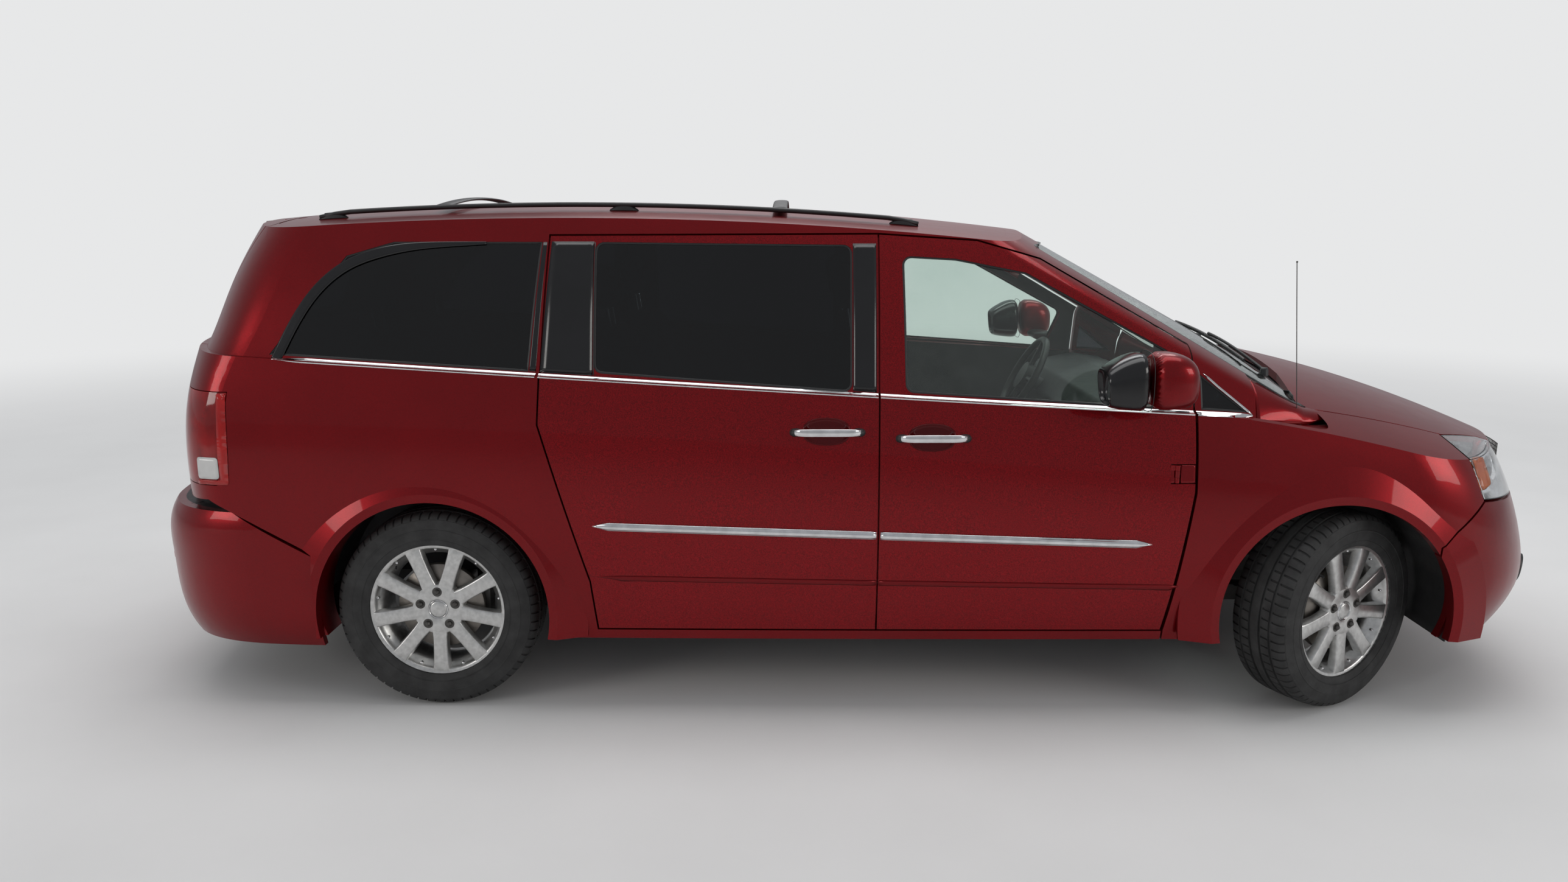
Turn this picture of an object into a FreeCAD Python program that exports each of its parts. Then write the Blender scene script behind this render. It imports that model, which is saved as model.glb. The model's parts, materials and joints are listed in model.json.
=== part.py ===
import FreeCAD, Part
import math
import os
import re
import Sketcher
from types import SimpleNamespace
from FreeCAD import Matrix, Placement, Rotation, Vector

# A seven-seat family van. Millimetres, +X forward, +Y to the van's left, +Z up,
# with the origin on the ground under the middle of the length.

# Driving sizes: the cell's alias, its value and what it measures.
SIZES = (
    ("length", 5151, "over both bumpers"),
    ("width", 1998, "over the body sides"),
    ("wheelbase", 3078, "between the axles"),
    ("front_overhang", 951, "from the nose to the front axle"),
    ("track", 1650, "between the middles of the tyres of one axle"),
    ("belt_height", 1112, "belt line above the ground at mid length"),
    ("belt_fall", 0.058, "fall of the belt line per unit of length"),
    ("roof_height", 1738, "highest line of the roof"),
    ("sill_height", 255, "underside of the sills"),
    ("door_depth", 120, "door thickness under the belt line"),
    ("pillar_depth", 45, "thickness of the pillars and window frames"),
    ("door_skin", 50, "depth of a door's outer flange under the belt line"),
    ("frame_skin", 15, "depth of a window frame's outer flange"),
    ("flange", 30, "width of the body flange behind a door's edge"),
    ("door_rebate", 50, "step in from a door's outline to its inner panel"),
    ("roof_depth", 35, "roof with its lining"),
    ("panel", 30, "hood, fenders and bumpers"),
    ("gap", 6, "shut line between two panels"),
    ("hinge_setback", 63, "front door's hinge pin behind its leading edge"),
    ("hinge_depth", 14, "hinge pins inside the skin"),
    ("cowl_drop", 36, "cowl under the hood's surface"),
    ("glass", 5, "glass thickness"),
    ("glass_setback", 4, "glass behind the outer skin"),
    ("glass_play", 0.3, "clearance round a pane"),
    ("door_front_edge", 505, "front door's leading edge behind the front axle"),
    ("b_pillar", 65, "shut line between the doors, ahead of mid length"),
    ("door_top", 1632, "top of the door openings"),
    ("door_bottom", 291, "bottom of the door openings"),
    ("slider_rear", 383, "sliding door's rear edge ahead of the rear axle"),
    ("tyre_radius", 350, "loaded radius of the tyre"),
    ("tyre_width", 225, "section width of the tyre"),
    ("rim_radius", 234, "rim flange"),
    ("rim_width", 190, "over the rim flanges"),
    ("spokes", 9, "spokes of a wheel"),
    ("spoke_half", 21, "half the width of a spoke at the rim"),
    ("hub_radius", 86, "solid middle of a wheel"),
    ("disc_radius", 150, "brake disc"),
    ("arch_radius", 400, "wheel arch round the wheel's middle"),
    ("flare_width", 130, "width of the swelling round a wheel arch"),
    ("flare_side", 981, "from the middle to the swelling's crest"),
    ("moulding_half", 14, "half the height of the side moulding"),
    ("moulding_depth", 14, "how far the side moulding stands out"),
    ("handle_length", 200, "pull handle"),
    ("arch_depth", 490, "from the body side to the arch's inner wall"),
    ("kingpin_inset", 40, "steering axis inboard of the tyre's middle"),
    ("steer_left", 29.5, "steering angle at rest, to the left"),
    ("floor_top", 345, "cabin floor above the ground"),
    ("floor_skin", 25, "floor pan thickness"),
    ("firewall", 375, "firewall behind the front axle"),
    ("tailgate_half", 655, "half the width of the tailgate at the glass"),
    ("tailgate_low_half", 700, "half the width of the tailgate under the glass"),
    ("tailgate_top", 2035, "tailgate's top edge behind mid length"),
    ("bumper_top", 690, "top of the rear bumper"),
    ("seat_width", 540, "one front seat"),
    ("seat_pitch", 760, "between the middles of the left and right seats"),
    ("cushion", 150, "thickness of a seat cushion"),
)

doc = FreeCAD.newDocument("minivan")
sheet = doc.addObject("Spreadsheet::Sheet", "sheet")
for row, (name, value, note) in enumerate(SIZES, 1):
    sheet.set(f"A{row}", note)
    sheet.set(f"B{row}", str(value))
    sheet.setAlias(f"B{row}", name)
doc.recompute()
S = SimpleNamespace(**{name: float(sheet.get(name)) for name, value, note in SIZES})

NOSE = S.length / 2
TAIL = -S.length / 2
SIDE = S.width / 2
FRONT_AXLE = NOSE - S.front_overhang
REAR_AXLE = FRONT_AXLE - S.wheelbase
KINGPIN = S.track / 2 - S.kingpin_inset
DOOR_FRONT = FRONT_AXLE - S.door_front_edge
SLIDER_REAR = REAR_AXLE + S.slider_rear
FIREWALL = FRONT_AXLE - S.firewall
GATE_TOP = -S.tailgate_top
parts = {}


# Geometry helpers
def belt(x):
    return S.belt_height - S.belt_fall * x


def box(x0, y0, z0, x1, y1, z1):
    return Part.makeBox(x1 - x0, y1 - y0, z1 - z0, Vector(x0, y0, z0))


def rod(start, end, radius):
    start, end = Vector(*start), Vector(*end)
    return Part.makeCylinder(radius, (end - start).Length, start, end - start)


def inset(points, distance):
    """The polygon with its sides moved inwards, all alike or each by its own distance."""
    area = sum(a[0] * b[1] - b[0] * a[1] for a, b in zip(points, points[1:] + points[:1]))
    turn = 1 if area > 0 else -1
    lines = []
    distances = distance if isinstance(distance, (list, tuple)) else [distance] * len(points)
    for a, b, step in zip(points, points[1:] + points[:1], distances):
        dx, dy = b[0] - a[0], b[1] - a[1]
        size = math.hypot(dx, dy)
        nx, ny = -dy / size * turn, dx / size * turn
        lines.append((nx, ny, nx * a[0] + ny * a[1] + step))
    result = []
    for (a, b, c), (d, e, f) in zip(lines[-1:] + lines[:-1], lines):
        det = a * e - b * d
        result.append(((c * e - b * f) / det, (a * f - c * d) / det))
    return result


def rounded(points, radius, place):
    """A closed wire through the polygon's points with its corners rounded."""
    edges = []
    arcs = []
    for before, here, after in zip(points[-1:] + points[:-1], points, points[1:] + points[:1]):
        a = Vector(before[0] - here[0], before[1] - here[1], 0)
        b = Vector(after[0] - here[0], after[1] - here[1], 0)
        half = a.getAngle(b) / 2
        reach = min(radius / math.tan(half), 0.45 * a.Length, 0.45 * b.Length)
        fit = reach * math.tan(half)
        corner = Vector(here[0], here[1], 0)
        a.normalize()
        b.normalize()
        middle = corner + (a + b).normalize() * (fit / math.sin(half) - fit)
        arcs.append([corner + a * reach, middle, corner + b * reach])
    for arc, following in zip(arcs, arcs[1:] + arcs[:1]):
        p, q, r = [place(v.x, v.y) for v in arc]
        edges.append(Part.Arc(p, q, r).toShape() if radius > 0 else None)
        end = place(following[0].x, following[0].y)
        if (end - r).Length > 0.01:
            edges.append(Part.makeLine(r, end))
    return Part.Wire([edge for edge in edges if edge])


def side_prism(points, radius=0, inner=-300.0, outer=-1200.0):
    """A side view outline (x, z) run through one side of the body."""
    wire = outline_wire(points, radius, lambda u, v: Vector(u, outer, v))
    return Part.Face(wire).extrude(Vector(0, inner - outer, 0))


def rear_prism(points, radius=0, back=-2800.0, front=-1700.0):
    """A rear view outline (y, z) run through the tail or the nose."""
    wire = outline_wire(points, radius, lambda u, v: Vector(back, u, v))
    return Part.Face(wire).extrude(Vector(front - back, 0, 0))


def top_prism(points, radius=0, low=100.0, high=1900.0):
    """A top view outline (x, y) run through the body."""
    wire = outline_wire(points, radius, lambda u, v: Vector(u, v, low))
    return Part.Face(wire).extrude(Vector(0, 0, high - low))


def outline_wire(points, radius, place):
    if radius > 0:
        return rounded(points, radius, place)
    corners = [place(*point) for point in points]
    return Part.makePolygon(corners + corners[:1])


def mirrored(shape):
    return shape.mirror(Vector(), Vector(0, 1, 0))


def both(shape):
    return Part.makeCompound([shape, mirrored(shape)])


def fused(shapes):
    shapes = list(shapes)
    return shapes[0].fuse(shapes[1:]) if len(shapes) > 1 else shapes[0]


def biggest(shape, share=0.02):
    """The solids of a cut that are more than slivers."""
    solids = sorted(shape.Solids, key=lambda solid: -solid.Volume)
    solids = [solid for solid in solids if solid.Volume > share * solids[0].Volume]
    return solids[0] if len(solids) == 1 else Part.makeCompound(solids)


def keep(name, shape):
    """Makes a sub-part from a finished solid."""
    part = doc.addObject("Part::Feature", name)
    part.Label = name
    part.Shape = shape
    parts[name] = part
    return part


# Outer skin
# Lower body: level lines that fall to the front. Columns: height, slope, nose and front
# corner behind the overall nose, front arc, insets of the side at the front, the middle and
# the rear, rear corner and tail ahead of the overall tail, rear arc.
LOWER = (
    (-857, 0.0, 85, 650, 1600, 95, 66, 90, 430, 140, 2400),
    (-636, -0.012, 0, 625, 1600, 50, 27, 54, 425, 112, 2400),
    (-472, -0.030, 7, 640, 1450, 44, 14, 46, 425, 98, 2400),
    (-212, -0.045, 58, 690, 1100, 54, 22, 52, 425, 100, 2400),
    (0, -0.058, 175, 770, 980, 110, 49, 84, 500, 142, 2000),
    (218, -0.075, 420, 900, 900, 230, 110, 150, 620, 200, 1900),
)
# Cabin above the belt line. Columns: height, slope, windscreen ahead of the front axle,
# corner behind the windscreen, insets of the side at the front, the middle and the rear,
# rear corner and rear window ahead of the overall tail.
UPPER = (
    (-658, -0.058, 220, 309, 106, 57, 94, 495, 125),
    (-488, -0.030, -203, 296, 154, 94, 127, 555, 190),
    (-318, -0.015, -559, 283, 196, 134, 164, 615, 250),
    (-148, 0.0, -897, 265, 247, 191, 216, 675, 325),
    (-48, 0.0, -1079, 252, 287, 234, 257, 735, 390),
    (32, 0.0, -1225, 236, 319, 272, 294, 795, 455),
)
FRONT_ARC_HALF = 400
REAR_ARC_HALF = 450
SCREEN_ARC = 1700
REAR_WINDOW_ARC = 1800
LOFT_DEGREE = 3


def arc_edge(a, b, c):
    return Part.Arc(a, b, c).toShape()


def arc_from(centre, end, between, outward):
    """Half of the arc across the nose or the tail, from the middle line or back to it."""
    points = [centre, between, end] if outward else [end, between, centre]
    return Part.Arc(*points).toShape()


def soft_corner(first, second):
    """A curve tangent to the end of one edge and the start of the next."""
    p = first.valueAt(first.LastParameter)
    q = second.valueAt(second.FirstParameter)
    t = first.tangentAt(first.LastParameter)
    u = second.tangentAt(second.FirstParameter)
    step = q - p
    reach = (-step.x * u.y + u.x * step.y) / (u.x * t.y - t.x * u.y)
    curve = Part.BezierCurve()
    curve.setPoles([p, p + t * reach, q])
    return curve.toShape()


def level_line(height, slope, front, middle, rear, inward):
    """The right half of a level line: front and rear are (x, half, arc radius, corner x, side)."""
    xf, half_f, radius_f, corner_f, side_f = front
    xm, side_m = middle
    xr, half_r, radius_r, corner_r, side_r = rear
    xf, corner_f, side_f = xf - inward, corner_f - 0.6 * inward, side_f - inward
    xr, corner_r, side_r = xr + inward, corner_r + 0.6 * inward, side_r - inward
    side_m -= inward
    sag_f = radius_f - math.sqrt(radius_f ** 2 - half_f ** 2)
    sag_r = radius_r - math.sqrt(radius_r ** 2 - half_r ** 2)

    def at(x, y):
        return Vector(x, y, height + slope * x)

    tail = arc_from(at(xr, 0), at(xr + sag_r, -half_r), at(xr + sag_r / 4, -half_r / 2), True)
    side = arc_edge(at(corner_r, -side_r), at(xm, -side_m), at(corner_f, -side_f))
    nose = arc_from(at(xf, 0), at(xf - sag_f, -half_f), at(xf - sag_f / 4, -half_f / 2), False)
    middle_line = Part.makeLine(at(xf, 0), at(xr, 0))
    return Part.Wire([tail, soft_corner(tail, side), side, soft_corner(side, nose), nose,
                      middle_line])


def lower_body(inward=0):
    lines = []
    for row in LOWER:
        height, slope, nose, nose_corner, arc, in_f, in_m, in_r, tail_corner, tail, rear_arc = row
        front = (NOSE - nose, FRONT_ARC_HALF, arc, NOSE - nose_corner, SIDE - in_f)
        rear = (TAIL + tail, REAR_ARC_HALF, rear_arc, TAIL + tail_corner, SIDE - in_r)
        lines.append(level_line(S.belt_height + height, slope * S.belt_fall / 0.058, front,
                                (-300, SIDE - in_m), rear, inward))
    return Part.makeLoft(lines, True, False, False, LOFT_DEGREE)


def upper_body(inward=0):
    lines = []
    for row in UPPER:
        height, slope, screen, corner, in_f, in_m, in_r, rear_corner, tail = row
        x = FRONT_AXLE + screen
        front = (x, 560, SCREEN_ARC, x - corner, SIDE - in_f)
        rear = (TAIL + tail, 425, REAR_WINDOW_ARC, TAIL + rear_corner, SIDE - in_r)
        lines.append(level_line(S.roof_height + height, slope, front, (-600, SIDE - in_m),
                                rear, inward))
    return Part.makeLoft(lines, True, False, False, LOFT_DEGREE)


def crowned(edge_heights, crown_heights, stations, down, floor):
    """A solid under a surface arched along X, with a crown across Y."""
    def section(y, heights):
        points = [Vector(x, y, z - down) for x, z in zip(stations, heights)]
        back, front = Vector(stations[0], y, floor), Vector(stations[-1], y, floor)
        lines = [Part.makeLine(points[-1], front), Part.makeLine(front, back),
                 Part.makeLine(back, points[0])]
        return Part.Wire([arc_edge(*points)] + lines)
    rows = [section(-1000, edge_heights), section(0, crown_heights), section(1000, edge_heights)]
    return Part.makeLoft(rows, True, False)


def hood_cap(down=0):
    stations = (FRONT_AXLE - 375, FRONT_AXLE + 325, NOSE + 75)
    edge = [S.belt_height - drop for drop in (112, 251, 457)]
    crown = [S.belt_height - drop for drop in (-100, 46, 320)]
    return crowned(edge, crown, stations, down, 150)


def roof_cap(down=0):
    stations = (FRONT_AXLE - 724, -900, TAIL - 125)
    crown = [S.roof_height - drop for drop in (136, 0, 113)]
    return crowned([z - 90 for z in crown], crown, stations, down, 800)


above_screen = box(FRONT_AXLE - 725, -1200, 900, FRONT_AXLE + 600, 1200, S.roof_height)
below_belt = side_prism([(-3000, 100), (3000, 100), (3000, belt(3000)), (-3000, belt(-3000))],
                        inner=1200)
lofts = {}


def lower_at(inward):
    """The body under the belt line, this far inside its skin."""
    if ("lower", inward) not in lofts:
        lofts["lower", inward] = lower_body(inward).common(below_belt)
    return lofts["lower", inward]


def upper_at(inward):
    """The cabin above the belt line, this far inside its skin."""
    if ("upper", inward) not in lofts:
        lofts["upper", inward] = upper_body(inward)
    return lofts["upper", inward]


def lower_wall(near, far):
    if ("lower wall", near, far) not in lofts:
        lofts["lower wall", near, far] = lower_at(near).cut(lower_at(far))
    return lofts["lower wall", near, far]


def upper_wall(near, far):
    if ("upper wall", near, far) not in lofts:
        roofed = upper_at(near).common(roof_cap().fuse(above_screen))
        lofts["upper wall", near, far] = roofed.cut(upper_at(far))
    return lofts["upper wall", near, far]


def roof_slab():
    if "roof" not in lofts:
        slab = roof_cap().cut(roof_cap(S.roof_depth).fuse(box(-3500, -1100, 700, 1500, 1100, 1400)))
        lofts["roof"] = slab.common(upper_at(0))
    return lofts["roof"]


def region(outline, holes=(), radius=0, hole_radius=0, inner=60.0, outer=-1200.0):
    """A side view outline with holes, run through the right side of the body."""
    def place(u, v):
        return Vector(u, outer, v)
    face = Part.Face(outline_wire(outline, radius, place))
    for hole in holes:
        face = face.cut(Part.Face(outline_wire(hole, hole_radius, place)))
    return face.extrude(Vector(0, inner - outer, 0))


# Side view outlines (x, z)
door_front = [
    (S.b_pillar, S.door_bottom), (DOOR_FRONT - 75, S.door_bottom),
    (DOOR_FRONT, belt(DOOR_FRONT) - 260), (DOOR_FRONT, 1262),
    (FRONT_AXLE - 1004, 1548), (FRONT_AXLE - 1224, S.door_top - 22), (S.b_pillar, S.door_top)]
slider = [
    (SLIDER_REAR + 178, S.door_bottom), (S.b_pillar, S.door_bottom), (S.b_pillar, S.door_top),
    (SLIDER_REAR + 34, S.door_top - 4), (SLIDER_REAR, 1012),
    (SLIDER_REAR + 117, 617), (SLIDER_REAR + 160, 470)]
door_window = [
    (S.b_pillar + 88, belt(S.b_pillar) + 8), (DOOR_FRONT - 130, belt(DOOR_FRONT) + 12),
    (DOOR_FRONT - 68, 1240), (FRONT_AXLE - 1062, 1504), (FRONT_AXLE - 1300, 1550),
    (S.b_pillar + 78, 1560)]
vent_window = [
    (DOOR_FRONT + 24, belt(DOOR_FRONT) + 8), (DOOR_FRONT + 185, belt(DOOR_FRONT + 185) + 8),
    (DOOR_FRONT + 24, 1170)]
slider_window = [
    (SLIDER_REAR + 187, belt(SLIDER_REAR) + 6), (S.b_pillar - 89, belt(S.b_pillar) + 8),
    (S.b_pillar - 89, 1596), (SLIDER_REAR + 187, 1606)]
quarter_window = [
    (REAR_AXLE - 520, belt(REAR_AXLE - 520) + 10), (SLIDER_REAR - 30, belt(SLIDER_REAR) + 10),
    (SLIDER_REAR + 10, 1606), (REAR_AXLE - 110, 1606), (REAR_AXLE - 270, 1560)]
DOOR_HOLES = [inset(door_front, -S.gap / 2), inset(slider, -S.gap / 2)]
FLANGE_HOLES = [inset(door_front, [S.flange, -S.gap / 2, -S.gap / 2] + 4 * [S.flange]),
                inset(slider, S.flange)]


def door_leaf(outline, window):
    """A door: an outer flange the full size, a smaller panel inside it, and its window."""
    flange_lower = lower_wall(0, S.door_skin).common(region(inset(outline, S.gap / 2)))
    panel_lower = lower_wall(S.door_skin - 10, S.door_depth).common(
        region(inset(outline, S.door_rebate)))
    flange_upper = upper_wall(0, S.frame_skin).common(
        region(inset(outline, S.gap / 2), [window], hole_radius=30))
    panel_upper = upper_wall(S.frame_skin - 5, S.pillar_depth).common(
        region(inset(outline, S.door_rebate), [window], hole_radius=30))
    return fused([flange_lower, panel_lower, flange_upper, panel_upper])


def skin_y(x, z):
    """How far out the right side's skin is at one place in the side view."""
    line = Part.makeLine(Vector(x, -SIDE - 200, z), Vector(x, -200, z))
    body = lower_at(0) if z < belt(x) else upper_at(0)
    return body.common(line).BoundBox.YMin


# Side frame: sill, pillars, quarter panel, roof rail and windscreen frame of one side
ARCH_Z = S.tyre_radius - 3
REAR_ARCH_DEPTH = S.arch_depth - 120
BUMPER_REAR_EDGE = REAR_AXLE - S.arch_radius - 5
LAMP_BACK = -2400


def arch_cutter(x, depth, radius=S.arch_radius):
    start = Vector(x, -SIDE - 100, ARCH_Z)
    return Part.makeCylinder(radius, 100 + depth, start, Vector(0, 1, 0))


def flare(x, lean):
    """The swelling round a wheel arch: a ring whose face leans in towards the nose."""
    crest = -S.flare_side
    inner = S.arch_radius
    profile = [(inner - 14, crest + 9), (inner + 30, crest), (inner + S.flare_width, crest + 38),
               (inner + S.flare_width, crest + 50), (inner - 14, crest + 45)]
    corners = [Vector(x, y, ARCH_Z + radius) for radius, y in profile]
    ring = Part.Face(Part.makePolygon(corners + corners[:1]))
    ring = ring.revolve(Vector(x, 0, ARCH_Z), Vector(0, 1, 0), 360)
    ring.rotate(Vector(x, crest, ARCH_Z), Vector(0, 0, 1), lean)
    return ring.common(box(x - 700, -1200, S.sill_height + 10, x + 700, 0, 1300))


windscreen_outline = [(-815, 1040), (815, 1040), (600, 1590), (-600, 1590)]
tailgate_outline = [
    (-S.tailgate_low_half, S.bumper_top + 8), (S.tailgate_low_half, S.bumper_top + 8),
    (S.tailgate_low_half, 1170), (S.tailgate_half, 1260), (S.tailgate_half, 1900),
    (-S.tailgate_half, 1900), (-S.tailgate_half, 1260), (-S.tailgate_low_half, 1170)]
tail_lamp = [(-2160, 800), (LAMP_BACK - 300, 790), (LAMP_BACK - 300, 1122), (-2106, 1117)]
side_low = [
    (BUMPER_REAR_EDGE, S.sill_height - 60), (DOOR_FRONT - 72, S.sill_height - 60),
    (DOOR_FRONT - 72, S.door_bottom - 3), (DOOR_FRONT - 200, S.door_bottom + 60),
    (DOOR_FRONT - 200, 1500), (-2900, 1500),
    (-2900, S.bumper_top + 5), (-2200, S.bumper_top + 60), (BUMPER_REAR_EDGE, 560)]
side_low_inner = side_low[:1] + [(FIREWALL - 5, S.sill_height - 60), (FIREWALL - 5, 1500)] + side_low[5:]
side_high = [(-2900, 800), (FIREWALL + 80, 800), (FIREWALL + 80, 1900), (-2900, 1900)]


def windscreen_cut(extra=0.0):
    return rear_prism(inset(windscreen_outline, -extra), 40, FRONT_AXLE - 1180, FRONT_AXLE + 600)


def tailgate_cut(step):
    """The tailgate's outline moved inwards, as a block that reaches in from the tail."""
    block = rear_prism(inset(tailgate_outline, step), 0, -2800, GATE_TOP + 100)
    plan = [(-2900, -1000), (GATE_TOP - step, -1000), (GATE_TOP - step, -S.tailgate_half),
            (GATE_TOP - 21 - step, -400), (GATE_TOP - 27 - step, 0), (GATE_TOP - 21 - step, 400),
            (GATE_TOP - step, S.tailgate_half), (GATE_TOP - step, 1000), (-2900, 1000)]
    return block.common(top_prism(plan))


def build_side():
    arch = arch_cutter(REAR_AXLE, REAR_ARCH_DEPTH)
    gate_outer = tailgate_cut(-S.gap / 2)
    gate_inner = tailgate_cut(S.flange).fuse(gate_outer.common(box(-2800, -1000, 1600, 0, 0, 1900)))
    low_zone = side_prism([(-3000, 100), (3000, 100), (3000, belt(3000) + 4), (-3000, belt(-3000) + 4)])
    low_openings = [region(hole).common(low_zone) for hole in DOOR_HOLES] + [gate_outer.common(low_zone)]
    swing = region(DOOR_HOLES[0]).common(box(HINGE_X - 230, -1200, 1000, DOOR_FRONT + 4, 0, 1500))
    screen = windscreen_cut(S.glass_play)
    layers = [
        (lower_wall(0, S.door_skin + 10), region(side_low, DOOR_HOLES + [tail_lamp]),
         [arch, gate_outer]),
        (lower_wall(S.door_skin + 5, S.door_depth), region(side_low_inner, FLANGE_HOLES),
         [arch, gate_inner]),
        (upper_wall(0, S.frame_skin + 6),
         region(side_high, DOOR_HOLES + [vent_window, quarter_window], hole_radius=0),
         [gate_outer, screen] + low_openings),
        (upper_wall(S.frame_skin + 4, S.pillar_depth),
         region(side_high, FLANGE_HOLES + [vent_window, quarter_window]),
         [gate_inner, screen, swing] + low_openings),
    ]
    pieces = []
    for wall, view, cuts in layers:
        piece = wall.common(view)
        for cut in cuts:
            piece = piece.cut(cut)
        pieces.append(biggest(piece))
    pieces.append(flare(REAR_AXLE, 0).common(region(side_low, DOOR_HOLES)).cut(arch))
    rail = roof_slab().common(box(GATE_TOP, -1100, 1300, 1200, -620, 1800))
    for hole in DOOR_HOLES:
        rail = rail.cut(region(hole))
    return fused(pieces + [biggest(rail)])


hinge_levels = (600, 850)
HINGE_X = DOOR_FRONT - S.hinge_setback
HINGE_Y = skin_y(HINGE_X, 700) + S.hinge_depth
side_right = build_side()


# Floor pan with the toe board, firewall, rear step and rear cross member
def hood_z(x, y):
    """Height of the hood's surface at one place in the plan."""
    line = Part.makeLine(Vector(x, y, 200), Vector(x, y, 1500))
    return hood_cap(0).common(line).BoundBox.ZMax


PAN_EDGE = S.door_depth + S.glass_play


HOOD_REAR = FRONT_AXLE - 40
HOOD_HINGE_Y = 690
HOOD_HINGE_X = HOOD_REAR - 67
HOOD_HINGE_Z = hood_z(HOOD_HINGE_X + 15, HOOD_HINGE_Y) - 12
STRUT_Y = 600


def inner_wing():
    """Inner wall of the wheel arch with the strut tower and the fender's flange."""
    wall = box(FIREWALL + 10, -500, 505, NOSE - 240, -478, 900)
    tower = box(FRONT_AXLE - 85, -690, 850, FRONT_AXLE + 85, -480, 866)
    sides = [box(x, -690, 2 * S.tyre_radius + 15, x + 12, -480, 866)
             for x in (FRONT_AXLE - 97, FRONT_AXLE + 85)]
    floor = box(FIREWALL + 10, -500, 505, NOSE - 240, -400, 520)
    shelf = box(HOOD_HINGE_X - 15, -1000, 880, FRONT_AXLE + 95, -478, 900)
    shelf = shelf.common(lower_body(S.panel + 0.3)).common(hood_cap(S.panel + 0.3))
    wall = wall.common(hood_cap(S.panel + 40)).cut(box(NOSE - 330, -600, 770, NOSE, 0, 1000))
    link = box(FRONT_AXLE - 97, -690, 860, FRONT_AXLE + 97, -478, 890)
    return fused([wall, tower, floor, shelf, link] + sides)


def hood_bracket():
    """A post from the strut tower's shelf with the hood's hinge pin."""
    y = -HOOD_HINGE_Y
    post = box(HOOD_HINGE_X - 8, y - 11, 885, HOOD_HINGE_X + 8, y - 4.5, HOOD_HINGE_Z + 4)
    head = rod((HOOD_HINGE_X, y - 11, HOOD_HINGE_Z), (HOOD_HINGE_X, y - 4.5, HOOD_HINGE_Z), 8)
    pin = rod((HOOD_HINGE_X, y - 6, HOOD_HINGE_Z), (HOOD_HINGE_X, y + 6, HOOD_HINGE_Z), 4)
    return fused([post, head, pin])


def hood_lug():
    """An eye on the hood's rear edge."""
    y = -HOOD_HINGE_Y
    lug = box(HOOD_HINGE_X, y - 4, HOOD_HINGE_Z - 6, HOOD_HINGE_X + 34, y + 4, HOOD_HINGE_Z + 5)
    eye = rod((HOOD_HINGE_X, y - 4, HOOD_HINGE_Z), (HOOD_HINGE_X, y + 4, HOOD_HINGE_Z), 8)
    hole = rod((HOOD_HINGE_X, y - 5, HOOD_HINGE_Z), (HOOD_HINGE_X, y + 5, HOOD_HINGE_Z), 4.3)
    return lug.fuse(eye).cut(hole)


def build_floor():
    line = [(FIREWALL, 1010), (FIREWALL, 640), (FIREWALL - 130, S.floor_top),
            (REAR_AXLE + 330, S.floor_top), (REAR_AXLE + 230, S.floor_top + 95),
            (REAR_AXLE - 260, S.floor_top + 95), (REAR_AXLE - 330, S.floor_top - 60),
            (TAIL + 330, S.floor_top - 60), (TAIL + 250, S.bumper_top - 40)]
    thick = S.floor_skin
    under = [(x, z - thick) for x, z in line]
    under[0] = (FIREWALL + thick, 1010)
    under[1] = (FIREWALL + thick, 640)
    under[2] = (FIREWALL - 110, S.floor_top - thick)
    under[-1] = (TAIL + 225, S.bumper_top - 40)
    under[-2] = (TAIL + 305, S.floor_top - 60 - thick)
    wire = outline_wire(line + under[::-1], 0, lambda u, v: Vector(u, -SIDE, v))
    pan = Part.Face(wire).extrude(Vector(0, SIDE, 0))
    house = S.arch_radius + 15
    start = Vector(REAR_AXLE, -SIDE + REAR_ARCH_DEPTH, ARCH_Z)
    gap_cut = Part.makeCylinder(S.arch_radius + 2, 260, start - Vector(0, 260, 0), Vector(0, 1, 0))
    drum = Part.makeCylinder(house, 20, start, Vector(0, 1, 0))
    liner = Part.makeCylinder(house, 250, start - Vector(0, 245, 0), Vector(0, 1, 0)).cut(gap_cut)
    well = fused([drum, liner]).common(box(-3000, -1200, S.floor_top + 60, 3000, 1200, 1200))
    pan = whole(pan.cut(gap_cut).fuse(well).common(lower_at(PAN_EDGE)))
    cross = box(TAIL + 180, -560, S.bumper_top - 190, TAIL + 235, 560, S.bumper_top - 42)
    rails = [box(FIREWALL + 20, y - 35, 420, NOSE - 230, y + 35, 520) for y in (-430, 430)]
    tie = box(NOSE - 232, -560, 400, NOSE - 200, 560, 560)
    beams = [box(FIREWALL - 300, y - 35, 300, FIREWALL + 60, y + 35, 345) for y in (-430, 430)]
    risers = [box(FIREWALL + 18, y - 35, 300, FIREWALL + 60, y + 35, 520) for y in (-430, 430)]
    wings = [inner_wing(), mirrored(inner_wing())]
    brackets = [hood_bracket(), mirrored(hood_bracket())]
    return fused([pan, cross, tie] + rails + beams + risers + wings + brackets)


# Front corner: fender, bumper, lamp, grille and hood share one skin
def front_cap(down):
    """Everything under the hood's surface, and under the belt line just behind it."""
    return hood_cap(down).fuse(box(FIREWALL - 220, -1300, 120, FIREWALL + 1, 1300, belt(FIREWALL) - down))


def front_wall(near, far):
    key = ("front wall", near, far)
    if key not in lofts:
        ahead = box(FIREWALL - 210, -1300, 100, NOSE + 200, 200, 1400)
        behind = box(FIREWALL - 220, -1300, 120, FIREWALL + 1, 1300, 1400)
        outside = lower_body(near).common(front_cap(near)).common(ahead)
        lofts[key] = outside.cut(lower_body(far).common(hood_cap(far).fuse(behind)))
    return lofts[key]


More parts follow.
